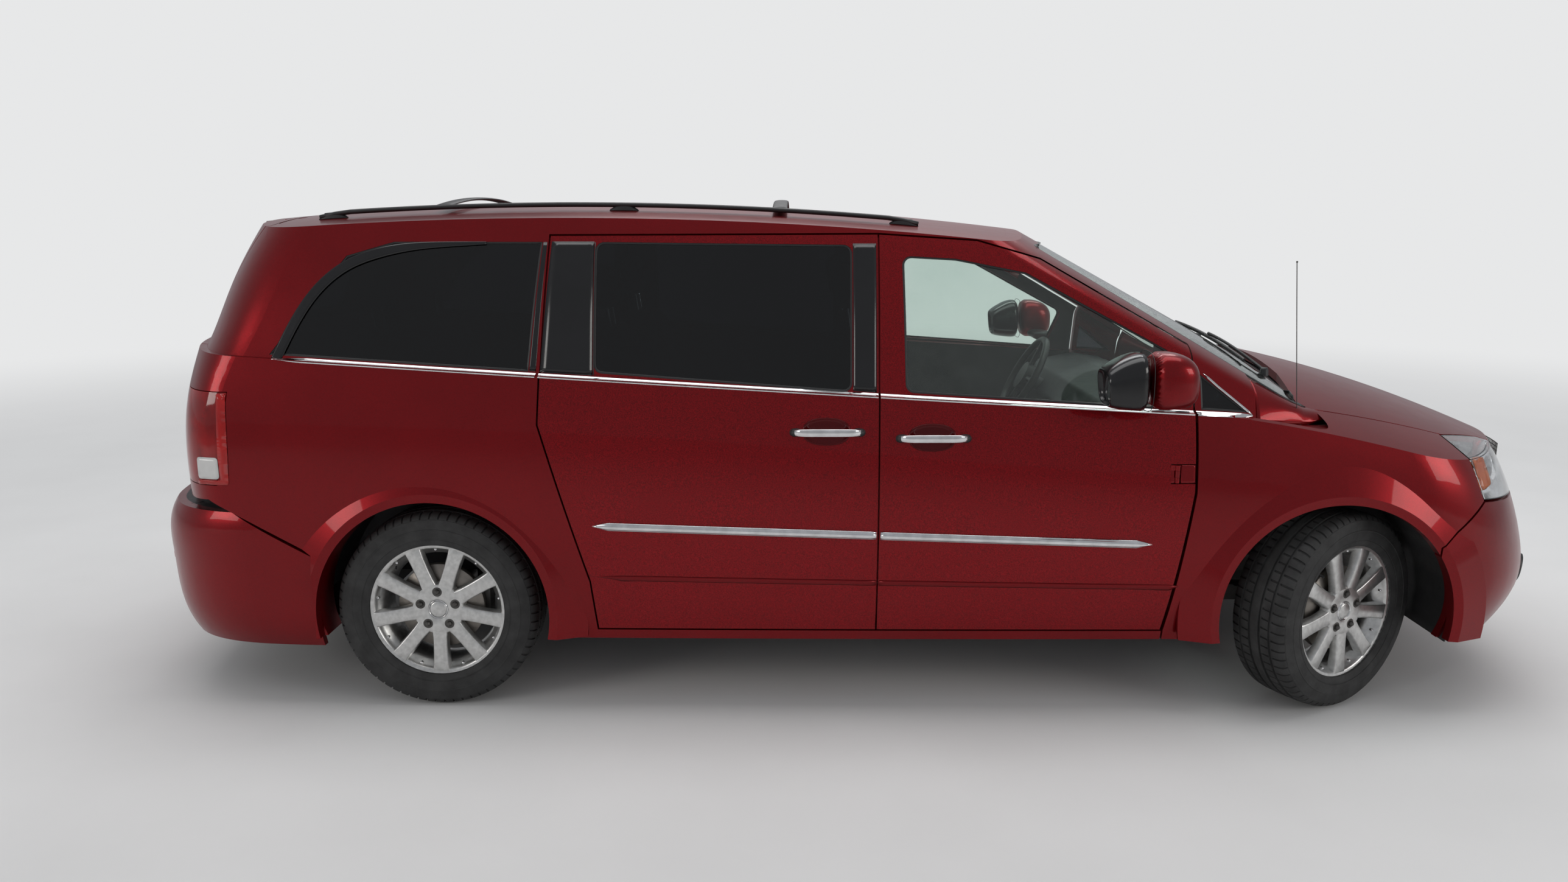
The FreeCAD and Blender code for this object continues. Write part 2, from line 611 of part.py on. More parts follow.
hood_half = [(HOOD_REAR, 0), (HOOD_REAR - 12, -450), (HOOD_REAR - 60, -765),
             (FRONT_AXLE + 440, -692), (FRONT_AXLE + 640, -560), (NOSE + 150, -420), (NOSE + 150, 0)]
lamp_view = [(FRONT_AXLE + 432, 935), (FRONT_AXLE + 507, 742), (NOSE + 200, 672), (NOSE + 200, 935)]
LAMP_INNER = 455
fender_view = [
    (DOOR_FRONT - 66, 60), (DOOR_FRONT - 66, S.door_bottom), (DOOR_FRONT + 6, belt(DOOR_FRONT) - 262),
    (DOOR_FRONT + 6, 1400), (FRONT_AXLE + 429, 1400), (FRONT_AXLE + 429, 935),
    (FRONT_AXLE + 501, 742), (FRONT_AXLE + 330, 600), (FRONT_AXLE + 330, 60)]
bumper_view = [
    (FRONT_AXLE + 336, 60), (FRONT_AXLE + 336, 598), (FRONT_AXLE + 507, 736),
    (NOSE + 200, 666), (NOSE + 200, 60)]


def hood_block(grow=0.0, high=1900.0):
    """The hood's half plan as a block, grown outwards on its outer sides."""
    rear = -3 * grow
    points = inset(hood_half, [rear, rear] + [-grow] * (len(hood_half) - 3) + [0])
    points = [(x, min(y, 0)) for x, y in points]
    return top_prism(points, 0, 100, high)


def build_hood():
    return front_wall(0, S.panel).common(hood_block()).common(front_hood_layer(0, S.panel))


def front_hood_layer(near, far):
    key = ("hood layer", near, far)
    if key not in lofts:
        ahead = box(FIREWALL - 90, -1300, 500, NOSE + 74, 200, 1500)
        lofts[key] = hood_cap(near).common(ahead).cut(hood_cap(far))
    return lofts[key]


def front_piece(near, far, view, cuts):
    piece = front_wall(near, far).common(region(view))
    for cut in cuts:
        piece = piece.cut(cut)
    return biggest(piece)


def whole(half):
    """Both halves of a piece that crosses the middle line, joined."""
    return half.fuse(mirrored(half)).removeSplitter()


hood_space = hood_block(S.gap).common(front_hood_layer(-60, S.panel + S.gap))
front_arch = arch_cutter(FRONT_AXLE, S.arch_depth)
hood_right = build_hood()

# Doors with their hinges
HINGE_HALF = 30
HINGE_PIN = 5
HINGE_BARREL = 9
HINGE_PLAY = 0.3


def hinge_pockets():
    return [box(HINGE_X - 22, HINGE_Y - 10, z - HINGE_HALF - 3, DOOR_FRONT + 5, HINGE_Y + 150,
                z + HINGE_HALF + 3) for z in hinge_levels]


def upright(x, y, z0, z1, radius):
    return Part.makeCylinder(radius, z1 - z0, Vector(x, y, z0))


def door_hinges():
    """The door's side: two barrels round each pin, on a plate at the pocket's rear wall."""
    pieces = []
    for z in hinge_levels:
        for z0, z1 in ((z - HINGE_HALF, z - 12), (z + 12, z + HINGE_HALF)):
            barrel = upright(HINGE_X, HINGE_Y, z0, z1, HINGE_BARREL)
            leaf = box(HINGE_X - 24, HINGE_Y - 3, z0, HINGE_X - 4, HINGE_Y + 5, z1)
            pieces.append(barrel.fuse(leaf).cut(
                upright(HINGE_X, HINGE_Y, z0 - 1, z1 + 1, HINGE_PIN + HINGE_PLAY)))
    return pieces


def body_hinges():
    """The body's side: pin, middle barrel and an arm that bends round the door's edge."""
    pieces = []
    for z in hinge_levels:
        pin = upright(HINGE_X, HINGE_Y, z - HINGE_HALF, z + HINGE_HALF, HINGE_PIN)
        barrel = upright(HINGE_X, HINGE_Y, z - 11, z + 11, HINGE_BARREL)
        arm = box(HINGE_X - 8, HINGE_Y, z - 11, HINGE_X + 8, HINGE_Y + 62, z + 11)
        foot = box(HINGE_X - 8, HINGE_Y + 48, z - 11, DOOR_FRONT + 12, HINGE_Y + 62, z + 11)
        pieces.append(fused([pin, barrel, arm, foot]))
    return pieces


def build_front_door():
    leaf = door_leaf(door_front, door_window)
    for pocket in hinge_pockets():
        leaf = leaf.cut(pocket)
    return fused([biggest(leaf)] + door_hinges())


def window_pane(window):
    return biggest(upper_glass().common(region(inset(window, S.glass_play), radius=30)))


def upper_glass():
    if "glass" not in lofts:
        near = S.glass_setback
        outside = upper_at(near).common(roof_cap(near).fuse(above_screen))
        lofts["glass"] = outside.cut(upper_at(near + S.glass))
    return lofts["glass"]


def plain_pane(window):
    return biggest(upper_glass().common(region(inset(window, S.glass_play))))


# Tailgate
def build_tailgate():
    outer = tailgate_cut(S.gap / 2)
    inner = tailgate_cut(S.door_rebate)
    window = tailgate_window(0)
    ring = [lower_wall(0, S.panel).common(outer), upper_wall(0, S.frame_skin).common(outer),
            lower_wall(S.panel - 5, 90).common(inner),
            upper_wall(S.frame_skin - 5, S.pillar_depth).common(inner)]
    top = roof_slab().common(outer)
    half = fused([biggest(piece) for piece in ring] + [biggest(top)])
    return whole(half.cut(window)).fuse(spoiler())


tailgate_window_outline = [(-580, 1275), (580, 1275), (560, 1590), (-560, 1590)]


def tailgate_window(step):
    return rear_prism(inset(tailgate_window_outline, step), 40, -2800, GATE_TOP - 60)


def spoiler():
    """A wedge that carries on the roof's line, swept in plan."""
    root, tip = GATE_TOP - 70, TAIL + 250
    side = [(root, 1600), (root, 1720), (tip, 1642), (tip, 1622), (tip + 120, 1604)]
    plan = [(root, -580), (root, 580), (root - 35, 440), (root - 125, 260), (tip, 70), (tip, -70),
            (root - 125, -260), (root - 35, -440)]
    return side_prism(side, inner=1000).common(top_prism(plan, 40)).common(roof_cap(3))


# Rear bumper
BUMPER = (
    # height, tail setback, inset of the side, corner ahead of the tail
    (215, 60, 92, 520), (300, 22, 62, 500), (500, 0, 44, 480), (640, 5, 40, 480), (700, 34, 52, 490),
)


def bumper_body(inward):
    lines = []
    for height, tail, side, corner in BUMPER:
        front = (REAR_AXLE, 400, 1600, REAR_AXLE - 200, SIDE - side)
        rear = (TAIL + tail, 600, 2600, TAIL + corner, SIDE - side - 12)
        z = height
        if inward and height in (BUMPER[0][0], BUMPER[-1][0]):
            z += -5 if height == BUMPER[0][0] else 5
        lines.append(level_line(z, 0.0, front, (REAR_AXLE - 250, SIDE - side + 2), rear, inward))
    return Part.makeLoft(lines, True, False, False, LOFT_DEGREE)


def build_rear_bumper():
    shell = bumper_body(0).cut(bumper_body(S.panel))
    view = [(-2900, 60), (BUMPER_REAR_EDGE, 60), (BUMPER_REAR_EDGE, 552),
            (-2205, S.bumper_top + 48), (-2900, S.bumper_top - 2)]
    shell = shell.common(region(view)).cut(arch_cutter(REAR_AXLE, REAR_ARCH_DEPTH))
    step = box(TAIL + 60, -640, S.bumper_top - 25, TAIL + 200, 0, S.bumper_top - 4)
    beam = box(TAIL + 20, -500, S.bumper_top - 170, TAIL + 180, 0, S.bumper_top - 60)
    return whole(fused([biggest(shell), step.common(bumper_body(5)), beam]))


def build_front_bumper():
    half = front_piece(0, S.panel, bumper_view, [front_arch, front_intake()])
    half = half.fuse(front_flare.common(region(bumper_view)))
    beam = box(NOSE - 200, -420, 420, NOSE - 22, 0, 540)
    chin_plan = [(FRONT_AXLE + 480, -700), (NOSE - 190, -430), (NOSE - 110, 60), (FRONT_AXLE + 480, 60)]
    chin = top_prism(chin_plan, 0, 200, 285).cut(top_prism(inset(chin_plan, 30), 0, 190, 300))
    beam = beam.common(lower_body(12))
    return whole(fused([half, beam, biggest(chin)]))


def front_intake():
    return rear_prism([(-470, 330), (470, 330), (430, 405), (-430, 405)], 30, NOSE - 300, NOSE + 200)


GRILLE_BARS = 5


def build_grille():
    """The grille's frame with its bars, between the lamps and under the hood."""
    low, high = S.bumper_top - 10, 812
    view = [(FRONT_AXLE + 500, low - 60), (NOSE + 200, low - 60), (NOSE + 200, 1200),
            (FRONT_AXLE + 500, 1200)]
    span = box(FRONT_AXLE + 500, -LAMP_INNER + 3, 600, NOSE + 200, 300, 1200)
    layer = front_wall(6, S.panel).common(span)
    layer = layer.cut(region(bumper_view_grown())).cut(hood_space)
    cut = []
    step = (high - low) / GRILLE_BARS
    for i in range(GRILLE_BARS):
        z = low + step * (i + 0.5)
        cut.append(box(FRONT_AXLE + 500, -LAMP_INNER + 25, z - step * 0.3, NOSE + 200, -12, z + step * 0.3))
    for slot in cut:
        layer = layer.cut(slot)
    return whole(biggest(layer))


def bumper_view_grown():
    return inset(bumper_view, -S.glass_play)


def build_lamps():
    lens = front_piece(0, 8, inset(lamp_view, 3), [hood_space, box(0, -LAMP_INNER, 0, 3000, 300, 2000)])
    beside = box(0, -LAMP_INNER + 2.7, 0, 3000, 300, 2000)
    behind = box(0, -1200, 0, FRONT_AXLE + 470, 0, 2000)
    housing = front_piece(8.3, 60, inset(lamp_view, -2.7), [hood_space, beside, behind])
    return lens, housing


# Interior
def build_seat(x, y, width, floor=S.floor_top, headrest=True):
    """A seat in side view: cushion, raked backrest and headrest, on a frame."""
    top = 790
    cushion = [(x - 250, top - S.cushion), (x - 270, top - 30), (x + 250, top), (x + 290, top - 30),
               (x + 280, top + 10 - S.cushion)]
    back = [(x - 250, 700), (x - 390, 1290), (x - 300, 1330), (x - 245, 1290), (x - 130, 700)]
    def cut(points, half, radius):
        wire = rounded(points, radius, lambda u, v: Vector(u, y - half, v))
        return Part.Face(wire).extrude(Vector(0, 2 * half, 0))
    pieces = [cut(cushion, width / 2, 40), cut(back, width / 2 - 15, 40)]
    if headrest:
        head = [(x - 385, 1345), (x - 425, 1500), (x - 350, 1515), (x - 315, 1360)]
        pieces.append(cut(head, 130, 25))
        pieces += [rod((x - 345, y + side, 1300), (x - 362, y + side, 1360), 7) for side in (-55, 55)]
    foot = box(x - 230, y - width / 2 + 60, floor + 0.3, x + 230, y + width / 2 - 60, 650)
    foot = foot.cut(box(x - 170, y - width, floor + 40, x + 170, y + width, 600))
    return fused(pieces + [foot])


def build_dashboard():
    line = [(FIREWALL - 0.3, 700), (FIREWALL - 0.3, 1025), (FIREWALL - 150, 1045), (FIREWALL - 330, 1010),
            (FIREWALL - 400, 930), (FIREWALL - 360, 800), (FIREWALL - 230, 700)]
    wire = rounded(line, 30, lambda u, v: Vector(u, -775, v))
    dash = Part.Face(wire).extrude(Vector(0, 1550, 0))
    stack = box(FIREWALL - 340, -160, 560, FIREWALL - 200, 160, 900)
    post = rod((FIREWALL - 250, 380, 880), (FIREWALL - 425, 380, 975), 32)
    return fused([dash, stack, post])


# Under the body
def build_engine():
    block = box(FIREWALL + 130, -330, 380, FIREWALL + 640, 250, 700)
    head_cover = box(FIREWALL + 200, -300, 690, FIREWALL + 560, 220, 860)
    gearbox = box(FIREWALL + 180, 240, 360, FIREWALL + 560, 385, 640)
    pan = box(FIREWALL + 220, -250, 240, FIREWALL + 490, 200, 390)
    battery = box(FIREWALL + 560, 300, 640, FIREWALL + 800, 460, 830)
    mounts = [box(FIREWALL + 300, y0, 440, FIREWALL + 420, y1, 500)
              for y0, y1 in ((-394.7, -320), (380, 394.7))]
    tray = box(FIREWALL + 540, 240, 521, FIREWALL + 820, 465, 645)
    return fused([block, head_cover, gearbox, pan, battery, tray] + mounts)


def build_radiator():
    core_box = box(NOSE - 290, -340, 300, NOSE - 250, 340, 760)
    frame = box(NOSE - 300, -380, 290, NOSE - 240, 380, 780).cut(
        box(NOSE - 301, -340, 330, NOSE - 239, 340, 740))
    legs = [box(NOSE - 240, y - 20, 400, NOSE - 232, y + 20, 560) for y in (-360, 360)]
    return fused([core_box, frame] + legs)


def build_subframe():
    """Front cradle with arms to the steered knuckles, struts and steering rack."""
    rails = [box(FRONT_AXLE - 260, y - 40, 215, FRONT_AXLE + 200, y + 40, 270) for y in (-350, 350)]
    crosses = [box(x, -350, 215, x + 70, 350, 265) for x in (FRONT_AXLE - 260, FRONT_AXLE + 130)]
    posts = [box(x, side * 430 - 30, 215, x + 60, side * 430 + 30, 420)
             for x in (FRONT_AXLE - 255, FRONT_AXLE + 135) for side in (-1, 1)]
    links = [box(x, side * 390 - 40, 215, x + 60, side * 390 + 40, 268)
             for x in (FRONT_AXLE - 255, FRONT_AXLE + 135) for side in (-1, 1)]
    rack = rod((FRONT_AXLE - 180, -500, 292), (FRONT_AXLE - 180, 500, 292), 22)
    rests = [box(FRONT_AXLE - 200, side * 350 - 20, 265, FRONT_AXLE - 160, side * 350 + 20, 285)
             for side in (-1, 1)]
    pieces = rails + crosses + posts + links + rests + [rack]
    for side in (-1, 1):
        for z0, z1, reach in ((LOWER_EYE, LOWER_EYE + 23, 360), (UPPER_EYE, UPPER_EYE + 23, 490)):
            eye = upright(FRONT_AXLE, side * KINGPIN, z0, z1, 14)
            arm = box(FRONT_AXLE - 18, min(side * reach, side * KINGPIN), z0 + 2,
                      FRONT_AXLE + 18, max(side * reach, side * KINGPIN), z1 - 2)
            hole = upright(FRONT_AXLE, side * KINGPIN, z0 - 1, z1 + 1, 8.3)
            pieces.append(arm.fuse(eye).cut(hole))
        foot = box(FRONT_AXLE - 60, side * 350 - 30, LOWER_EYE + 2, FRONT_AXLE + 60, side * 350 + 30, 250)
        tube = upright(FRONT_AXLE, side * STRUT_Y, LOWER_EYE + 10, 849.7, 24)
        spring = upright(FRONT_AXLE, side * STRUT_Y, 580, 840, 48)
        pieces += [foot, tube, spring]
        pieces.append(box(FRONT_AXLE - 40, side * 490 - 12, UPPER_EYE - 15, FRONT_AXLE + 40,
                          side * 490 + 12, 504.7))
    return fused(pieces)


def build_rear_axle():
    """Twist beam with trailing arms, springs, stub axles and calipers."""
    reach = S.track / 2 - 60
    beam = rod((REAR_AXLE, -reach, WHEEL_HEIGHT), (REAR_AXLE, reach, WHEEL_HEIGHT), 32)
    pieces = [beam]
    for side in (-1, 1):
        y = side * 560
        pieces.append(box(REAR_AXLE - 20, y - 22, 288, REAR_AXLE + 480, y + 22, 319.7))
        pieces.append(box(REAR_AXLE - 20, y - 22, 288, REAR_AXLE + 30, y + 22, 360))
        pieces.append(upright(REAR_AXLE + 90, y, 300, S.floor_top + 69.7, 46))
        turn = Rotation(Vector(0, 0, 1), 0 if side < 0 else 180)
        carrier = hub_carrier()
        carrier.Placement = Placement(Vector(REAR_AXLE, side * S.track / 2, WHEEL_HEIGHT), turn)
        pieces.append(carrier)
    return fused(pieces)


WHEEL_HEIGHT = S.tyre_radius
LOWER_EYE = WHEEL_HEIGHT - 148
UPPER_EYE = WHEEL_HEIGHT + 125
STUB = 25
DISC_BACK = 24


def hub_carrier():
    """Stub axle, flange and brake caliper, with the wheel's middle at the origin."""
    stub = rod((0, -28, 0), (0, 62, 0), STUB)
    flange = rod((0, DISC_BACK + 2, 0), (0, 64, 0), 62)
    half = S.disc_radius
    caliper = box(half - 55, -14, -55, half + 14, 44, 55)
    slot = rod((0, -2, 0), (0, DISC_BACK + 2, 0), half + 2)
    arm = box(30, DISC_BACK + 4, -40, half, 44, 40)
    return fused([stub, flange, caliper.cut(slot), arm])


def build_knuckle():
    """Upright between the two arms' eyes, with the hub carrier on it."""
    inset_y = S.kingpin_inset
    low, high = LOWER_EYE + 23.5 - WHEEL_HEIGHT, UPPER_EYE - 0.5 - WHEEL_HEIGHT
    post = box(-28, inset_y - 14, low, 28, inset_y + 24, high)
    pins = [Part.makeCylinder(8, 24, Vector(0, inset_y, low - 23)),
            Part.makeCylinder(8, 24, Vector(0, inset_y, high - 1))]
    arm = box(-140, inset_y + 4, -50, -20, inset_y + 20, -32)
    return fused([hub_carrier(), post, arm] + pins)


def build_exhaust():
    """Pipe and muffler, hung from the floor."""
    y = -150
    pipe = rod((FIREWALL - 60, y, 286), (REAR_AXLE + 560, y, 286), 30)
    hangers = [box(x, y - 8, 300, x + 16, y + 8, 319.7) for x in (FIREWALL - 400, REAR_AXLE + 700)]
    muffler = box(REAR_AXLE + 570, y - 110, 240, REAR_AXLE + 1050, y + 110, 312)
    muffler = muffler.makeFillet(30, [edge for edge in muffler.Edges if edge.BoundBox.XLength > 400])
    return fused([pipe, muffler] + hangers)


def build_tank():
    tank = box(-700, 60, 205, 100, 560, 319.4)
    return tank.makeFillet(35, [edge for edge in tank.Edges if edge.BoundBox.ZLength > 100])


def build_rack():
    """Roof rails that follow the roof, with feet and two cross bars."""
    high = roof_cap(-30).cut(roof_cap(-10).fuse(box(-3500, -1100, 700, 1500, 1100, 1400)))
    feet = roof_cap(-12).cut(roof_cap(0).fuse(box(-3500, -1100, 700, 1500, 1100, 1400)))
    x0, x1 = GATE_TOP + 130, FRONT_AXLE - 1400
    pieces = []
    for side in (-1, 1):
        y = side * 560
        pieces.append(high.common(box(x0, y - 16, 1400, x1, y + 16, 1900)))
        for x in (x0 + 20, (x0 + x1) / 2, x1 - 60):
            pieces.append(feet.common(box(x, y - 16, 1400, x + 50, y + 16, 1900)))
    bars = roof_cap(-26).cut(roof_cap(-14).fuse(box(-3500, -1100, 700, 1500, 1100, 1400)))
    pieces += [bars.common(box(x, -560, 1400, x + 60, 560, 1900)) for x in (-1500, -300)]
    return fused(pieces)


MIRROR_X = DOOR_FRONT - 372
MIRROR_Y = skin_y(DOOR_FRONT - 90, 1080)


def build_mirror():
    """A door mirror: housing on an arm, with a foot on the corner of the door."""
    def place(x, z):
        return Vector(x, MIRROR_Y - 95, z)
    front = DOOR_FRONT - 65
    line = [(front - 5, 1100), (front, 1235), (front - 55, 1275), (MIRROR_X + 42, 1262), (MIRROR_X, 1130),
            (MIRROR_X + 42, 1092)]
    shell = Part.Face(rounded(line, 35, place)).extrude(Vector(0, -185, 0))
    arm = box(front - 135, MIRROR_Y - 110, 1092, front - 25, MIRROR_Y + 20, 1135)
    foot = box(front - 140, MIRROR_Y - 18, 1075, front + 15, MIRROR_Y + 40, 1150)
    stem = arm.fuse(foot).cut(upper_at(-S.glass_play).fuse(lower_at(-S.glass_play)))
    hollow = box(MIRROR_X - 8, MIRROR_Y - 268, 1108, MIRROR_X + 50, MIRROR_Y - 108, 1258)
    return fused([shell.cut(hollow), biggest(stem, 0.05)])


def mirror_pane():
    back = MIRROR_X + 50 - S.glass_play
    return box(back - 5, MIRROR_Y - 266, 1110, back, MIRROR_Y - 110, 1256)


# Tailgate hinges
GATE_HINGE_X = GATE_TOP + 4
GATE_HINGE_Z = S.roof_height - 67
GATE_HINGE_Y = 400
# Extra room at the roof's edge, which the gate's edge passes as it lifts
GATE_SWING = 4


def gate_slot(y):
    return box(GATE_TOP - 40, y - 17, GATE_HINGE_Z - 20, GATE_HINGE_X + 14, y + 17, GATE_HINGE_Z + 30)


def gate_arm(y):
    """The tailgate's strap with its eye."""
    strap = box(GATE_TOP - 60, y - 8, GATE_HINGE_Z - 9, GATE_HINGE_X, y + 8, GATE_HINGE_Z + 6)
    eye = rod((GATE_HINGE_X, y - 8, GATE_HINGE_Z), (GATE_HINGE_X, y + 8, GATE_HINGE_Z), 9)
    hole = rod((GATE_HINGE_X, y - 9, GATE_HINGE_Z), (GATE_HINGE_X, y + 9, GATE_HINGE_Z), 4.3)
    return strap.fuse(eye).cut(hole)


def gate_pin(y):
    return rod((GATE_HINGE_X, y - 19, GATE_HINGE_Z), (GATE_HINGE_X, y + 19, GATE_HINGE_Z), 4)


def build_roof():
    """Roof panel between the side frames, with the tailgate's hinge pins."""
    slab = roof_slab().common(box(-3000, -619.7, 1300, 3000, 100, 1900))
    slab = slab.common(upper_at(S.pillar_depth + S.glass_play))
    slab = biggest(slab.cut(tailgate_cut(-S.gap - GATE_SWING)).cut(gate_slot(-GATE_HINGE_Y)))
    return whole(slab.fuse(gate_pin(-GATE_HINGE_Y)))


def build_windscreen():
    layer = upper_glass().common(windscreen_cut()).cut(hood_cap(-8)).cut(hood_block(S.gap))
    return whole(biggest(layer))


def build_gate_glass():
    return whole(biggest(upper_glass().common(tailgate_window(S.glass_play))))


def build_cowl():
    """The sunk panel under the wipers, with a wall that carries the windscreen's lower edge."""
    drop = S.cowl_drop
    wall_x = HOOD_HINGE_X - 62
    near = S.glass_setback + S.glass + S.glass_play
    def block(x0, x1, half, low, high):
        return box(x0, -half, low, x1, 60, high)
    tray = hood_cap(drop).cut(hood_cap(drop + 10)).common(block(wall_x, HOOD_REAR + 40, 660, 900, 1300))
    wall = block(wall_x, wall_x + 12, 660, 900, 1300).common(upper_at(near)).cut(hood_cap(drop + 5))
    shelf = block(FIREWALL + 0.3, HOOD_REAR, 500, 1010.3, 1022)
    stand = block(HOOD_REAR - 20, HOOD_REAR, 300, 1010.3, 1250).common(hood_cap(drop + 4))
    half = fused([tray, wall, shelf, stand]).common(box(0, -1000, 0, 3000, 0, 2000))
    return whole(half)


# Handles and side mouldings, which stand on the doors' skin
# name: the pointed end, where the point starts, and the square end
mouldings = {"door": ((983, 612), (950, 612), (S.b_pillar + 7, 641)),
             "slider": ((-894, 670), (-860, 669), (S.b_pillar - 7, 642))}


def build_handle(x, z):
    """A pull handle on two posts, along the door."""
    y = skin_y(x, z) - 34
    half = S.handle_length / 2
    grip = rod((x - half, y, z), (x + half, y, z), 12)
    posts = [rod((x + side * (half - 15), y, z), (x + side * (half - 15), y + 60, z), 9)
             for side in (-1, 1)]
    return fused([grip] + posts).cut(lower_at(-S.glass_play))


def build_moulding(name):
    """A strip along the door, pointed at its free end."""
    tip, near, far = mouldings[name]
    half = S.moulding_half
    view = [tip, (near[0], near[1] + half), (far[0], far[1] + half), (far[0], far[1] - half),
            (near[0], near[1] - half)]
    return biggest(lower_wall(-S.moulding_depth, -S.glass_play).common(region(view)))


# Fuel door on the left quarter panel
FUEL_X = REAR_AXLE + 250
FUEL_Z = 900
FUEL_HALF = 75


def fuel_view(step=0.0):
    return inset([(FUEL_X - FUEL_HALF, FUEL_Z - FUEL_HALF), (FUEL_X + FUEL_HALF, FUEL_Z - FUEL_HALF),
                  (FUEL_X + FUEL_HALF, FUEL_Z + FUEL_HALF), (FUEL_X - FUEL_HALF, FUEL_Z + FUEL_HALF)], step)


def build_fuel_lid():
    """Lid with an eye round a pin at its front edge, made on the right and mirrored."""
    lid = biggest(lower_wall(0, 6).common(region(fuel_view(), radius=12)))
    x, y = FUEL_X + FUEL_HALF - 10, skin_y(FUEL_X, FUEL_Z) + 10
    eye = upright(x, y, FUEL_Z - 14, FUEL_Z + 14, 6).cut(upright(x, y, FUEL_Z - 15, FUEL_Z + 15, 2.8))
    return mirrored(lid.fuse(eye))


def fuel_pocket():
    """The hollow for the lid, rounded out where its front edge swings in."""
    hollow = region(fuel_view(-5), radius=15).cut(lower_at(S.door_skin + 3))
    x, y = FUEL_X + FUEL_HALF - 10, skin_y(FUEL_X, FUEL_Z) + 10
    return hollow.fuse(upright(x, y, FUEL_Z - FUEL_HALF - 5, FUEL_Z + FUEL_HALF + 5, 20))


def fuel_pins():
    x, y = FUEL_X + FUEL_HALF - 10, skin_y(FUEL_X, FUEL_Z) + 10
    pin = upright(x, y, FUEL_Z - 24, FUEL_Z + 24, 2.5)
    ears = [box(x - 4, y - 2, z, x + 2.5, y + 60, z + 5) for z in (FUEL_Z - 24, FUEL_Z + 19)]
    cap = rod((FUEL_X - 10, y + 20, FUEL_Z), (FUEL_X - 10, y + 70, FUEL_Z), 30)
    return [pin, cap] + ears


# Wheels and tyres as bodies
ALIASES = [name for name, value, note in SIZES]


def bound(text):
    """An expression whose size names point at the sheet."""
    return re.sub(r"[a-z_]+", lambda m: "sheet." + m[0] if m[0] in ALIASES else m[0], text)


def origin_plane(body, role):
    return next(feature for feature in body.Origin.OriginFeatures if feature.Role == role)


def sketch_on(body, name, role):
    sketch = body.newObject("Sketcher::SketchObject", name)
    sketch.AttachmentSupport = [(origin_plane(body, role), "")]
    sketch.MapMode = "FlatFace"
    return sketch


def polygon(sketch, points):
    """A closed outline whose corners are bound to the sheet."""
    names = dict(vars(S))
    values = [[size_of(text, names) for text in point] for point in points]
    for here, there in zip(values, values[1:] + values[:1]):
        sketch.addGeometry(Part.LineSegment(Vector(*here, 0), Vector(*there, 0)), False)
    count = len(points)
    for i in range(count):
        sketch.addConstraint(Sketcher.Constraint("Coincident", i, 2, (i + 1) % count, 1))
    for i, (point, value) in enumerate(zip(points, values)):
        for kind, text, number in zip(("DistanceX", "DistanceY"), point, value):
            index = sketch.addConstraint(Sketcher.Constraint(kind, -1, 1, i, 1, number))
            name = f"{kind[-1].lower()}{i}"
            sketch.renameConstraint(index, name)
            sketch.setExpression("Constraints." + name, bound(text))


def size_of(text, names):
    """The value of a size written as a sum of products of names and numbers."""
    total = 0.0
    for sign, term in re.findall(r"([+-]?)\s*([^+-]+)", text):
        value = 1.0
        for factor in re.findall(r"[*/]?\s*[a-z_0-9.]+", term):
            word = factor.strip("*/ ")
            number = names[word] if word in names else float(word)
            value = value / number if factor.startswith("/") else value * number
        total += -value if sign == "-" else value
    return total


RIM_PROFILE = [
    ("0", "0 - rim_width / 2 + 14"), ("30", "0 - rim_width / 2 + 14"), ("34", "0 - rim_width / 2 + 20"),
    ("hub_radius - 6", "0 - rim_width / 2 + 18"), ("rim_radius - 34", "0 - rim_width / 2 + 5"),
    ("rim_radius - 8", "0 - rim_width / 2 + 7"), ("rim_radius - 7", "0 - rim_width / 2"),
    ("rim_radius", "0 - rim_width / 2"), ("rim_radius", "0 - rim_width / 2 + 8"),
    ("rim_radius - 18", "0 - rim_width / 2 + 11"), ("rim_radius - 18", "0 - rim_width / 2 + 36"),
    ("rim_radius - 40", "0 - rim_width / 2 + 52"), ("rim_radius - 40", "20"), ("rim_radius - 18", "38"),
    ("rim_radius - 18", "rim_width / 2 - 11"), ("rim_radius", "rim_width / 2 - 8"),
    ("rim_radius", "rim_width / 2"), ("rim_radius - 7", "rim_width / 2"),
    ("rim_radius - 26", "rim_width / 2 - 14"), ("rim_radius - 26", "36"), ("rim_radius - 48", "18"),
    ("rim_radius - 48", "0 - rim_width / 2 + 54"), ("rim_radius - 40", "0 - rim_width / 2 + 38"),
    ("hub_radius - 4", "0 - rim_width / 2 + 48"), ("hub_radius - 4", "0 - rim_width / 2 + 55"),
    ("disc_radius / 2 + 4", "0 - rim_width / 2 + 55"), ("disc_radius / 2 + 4", "0"),
    ("disc_radius", "0"), ("disc_radius", "24"), ("25.3", "24"), ("25.3", "0 - 30"), ("0", "0 - 30")]
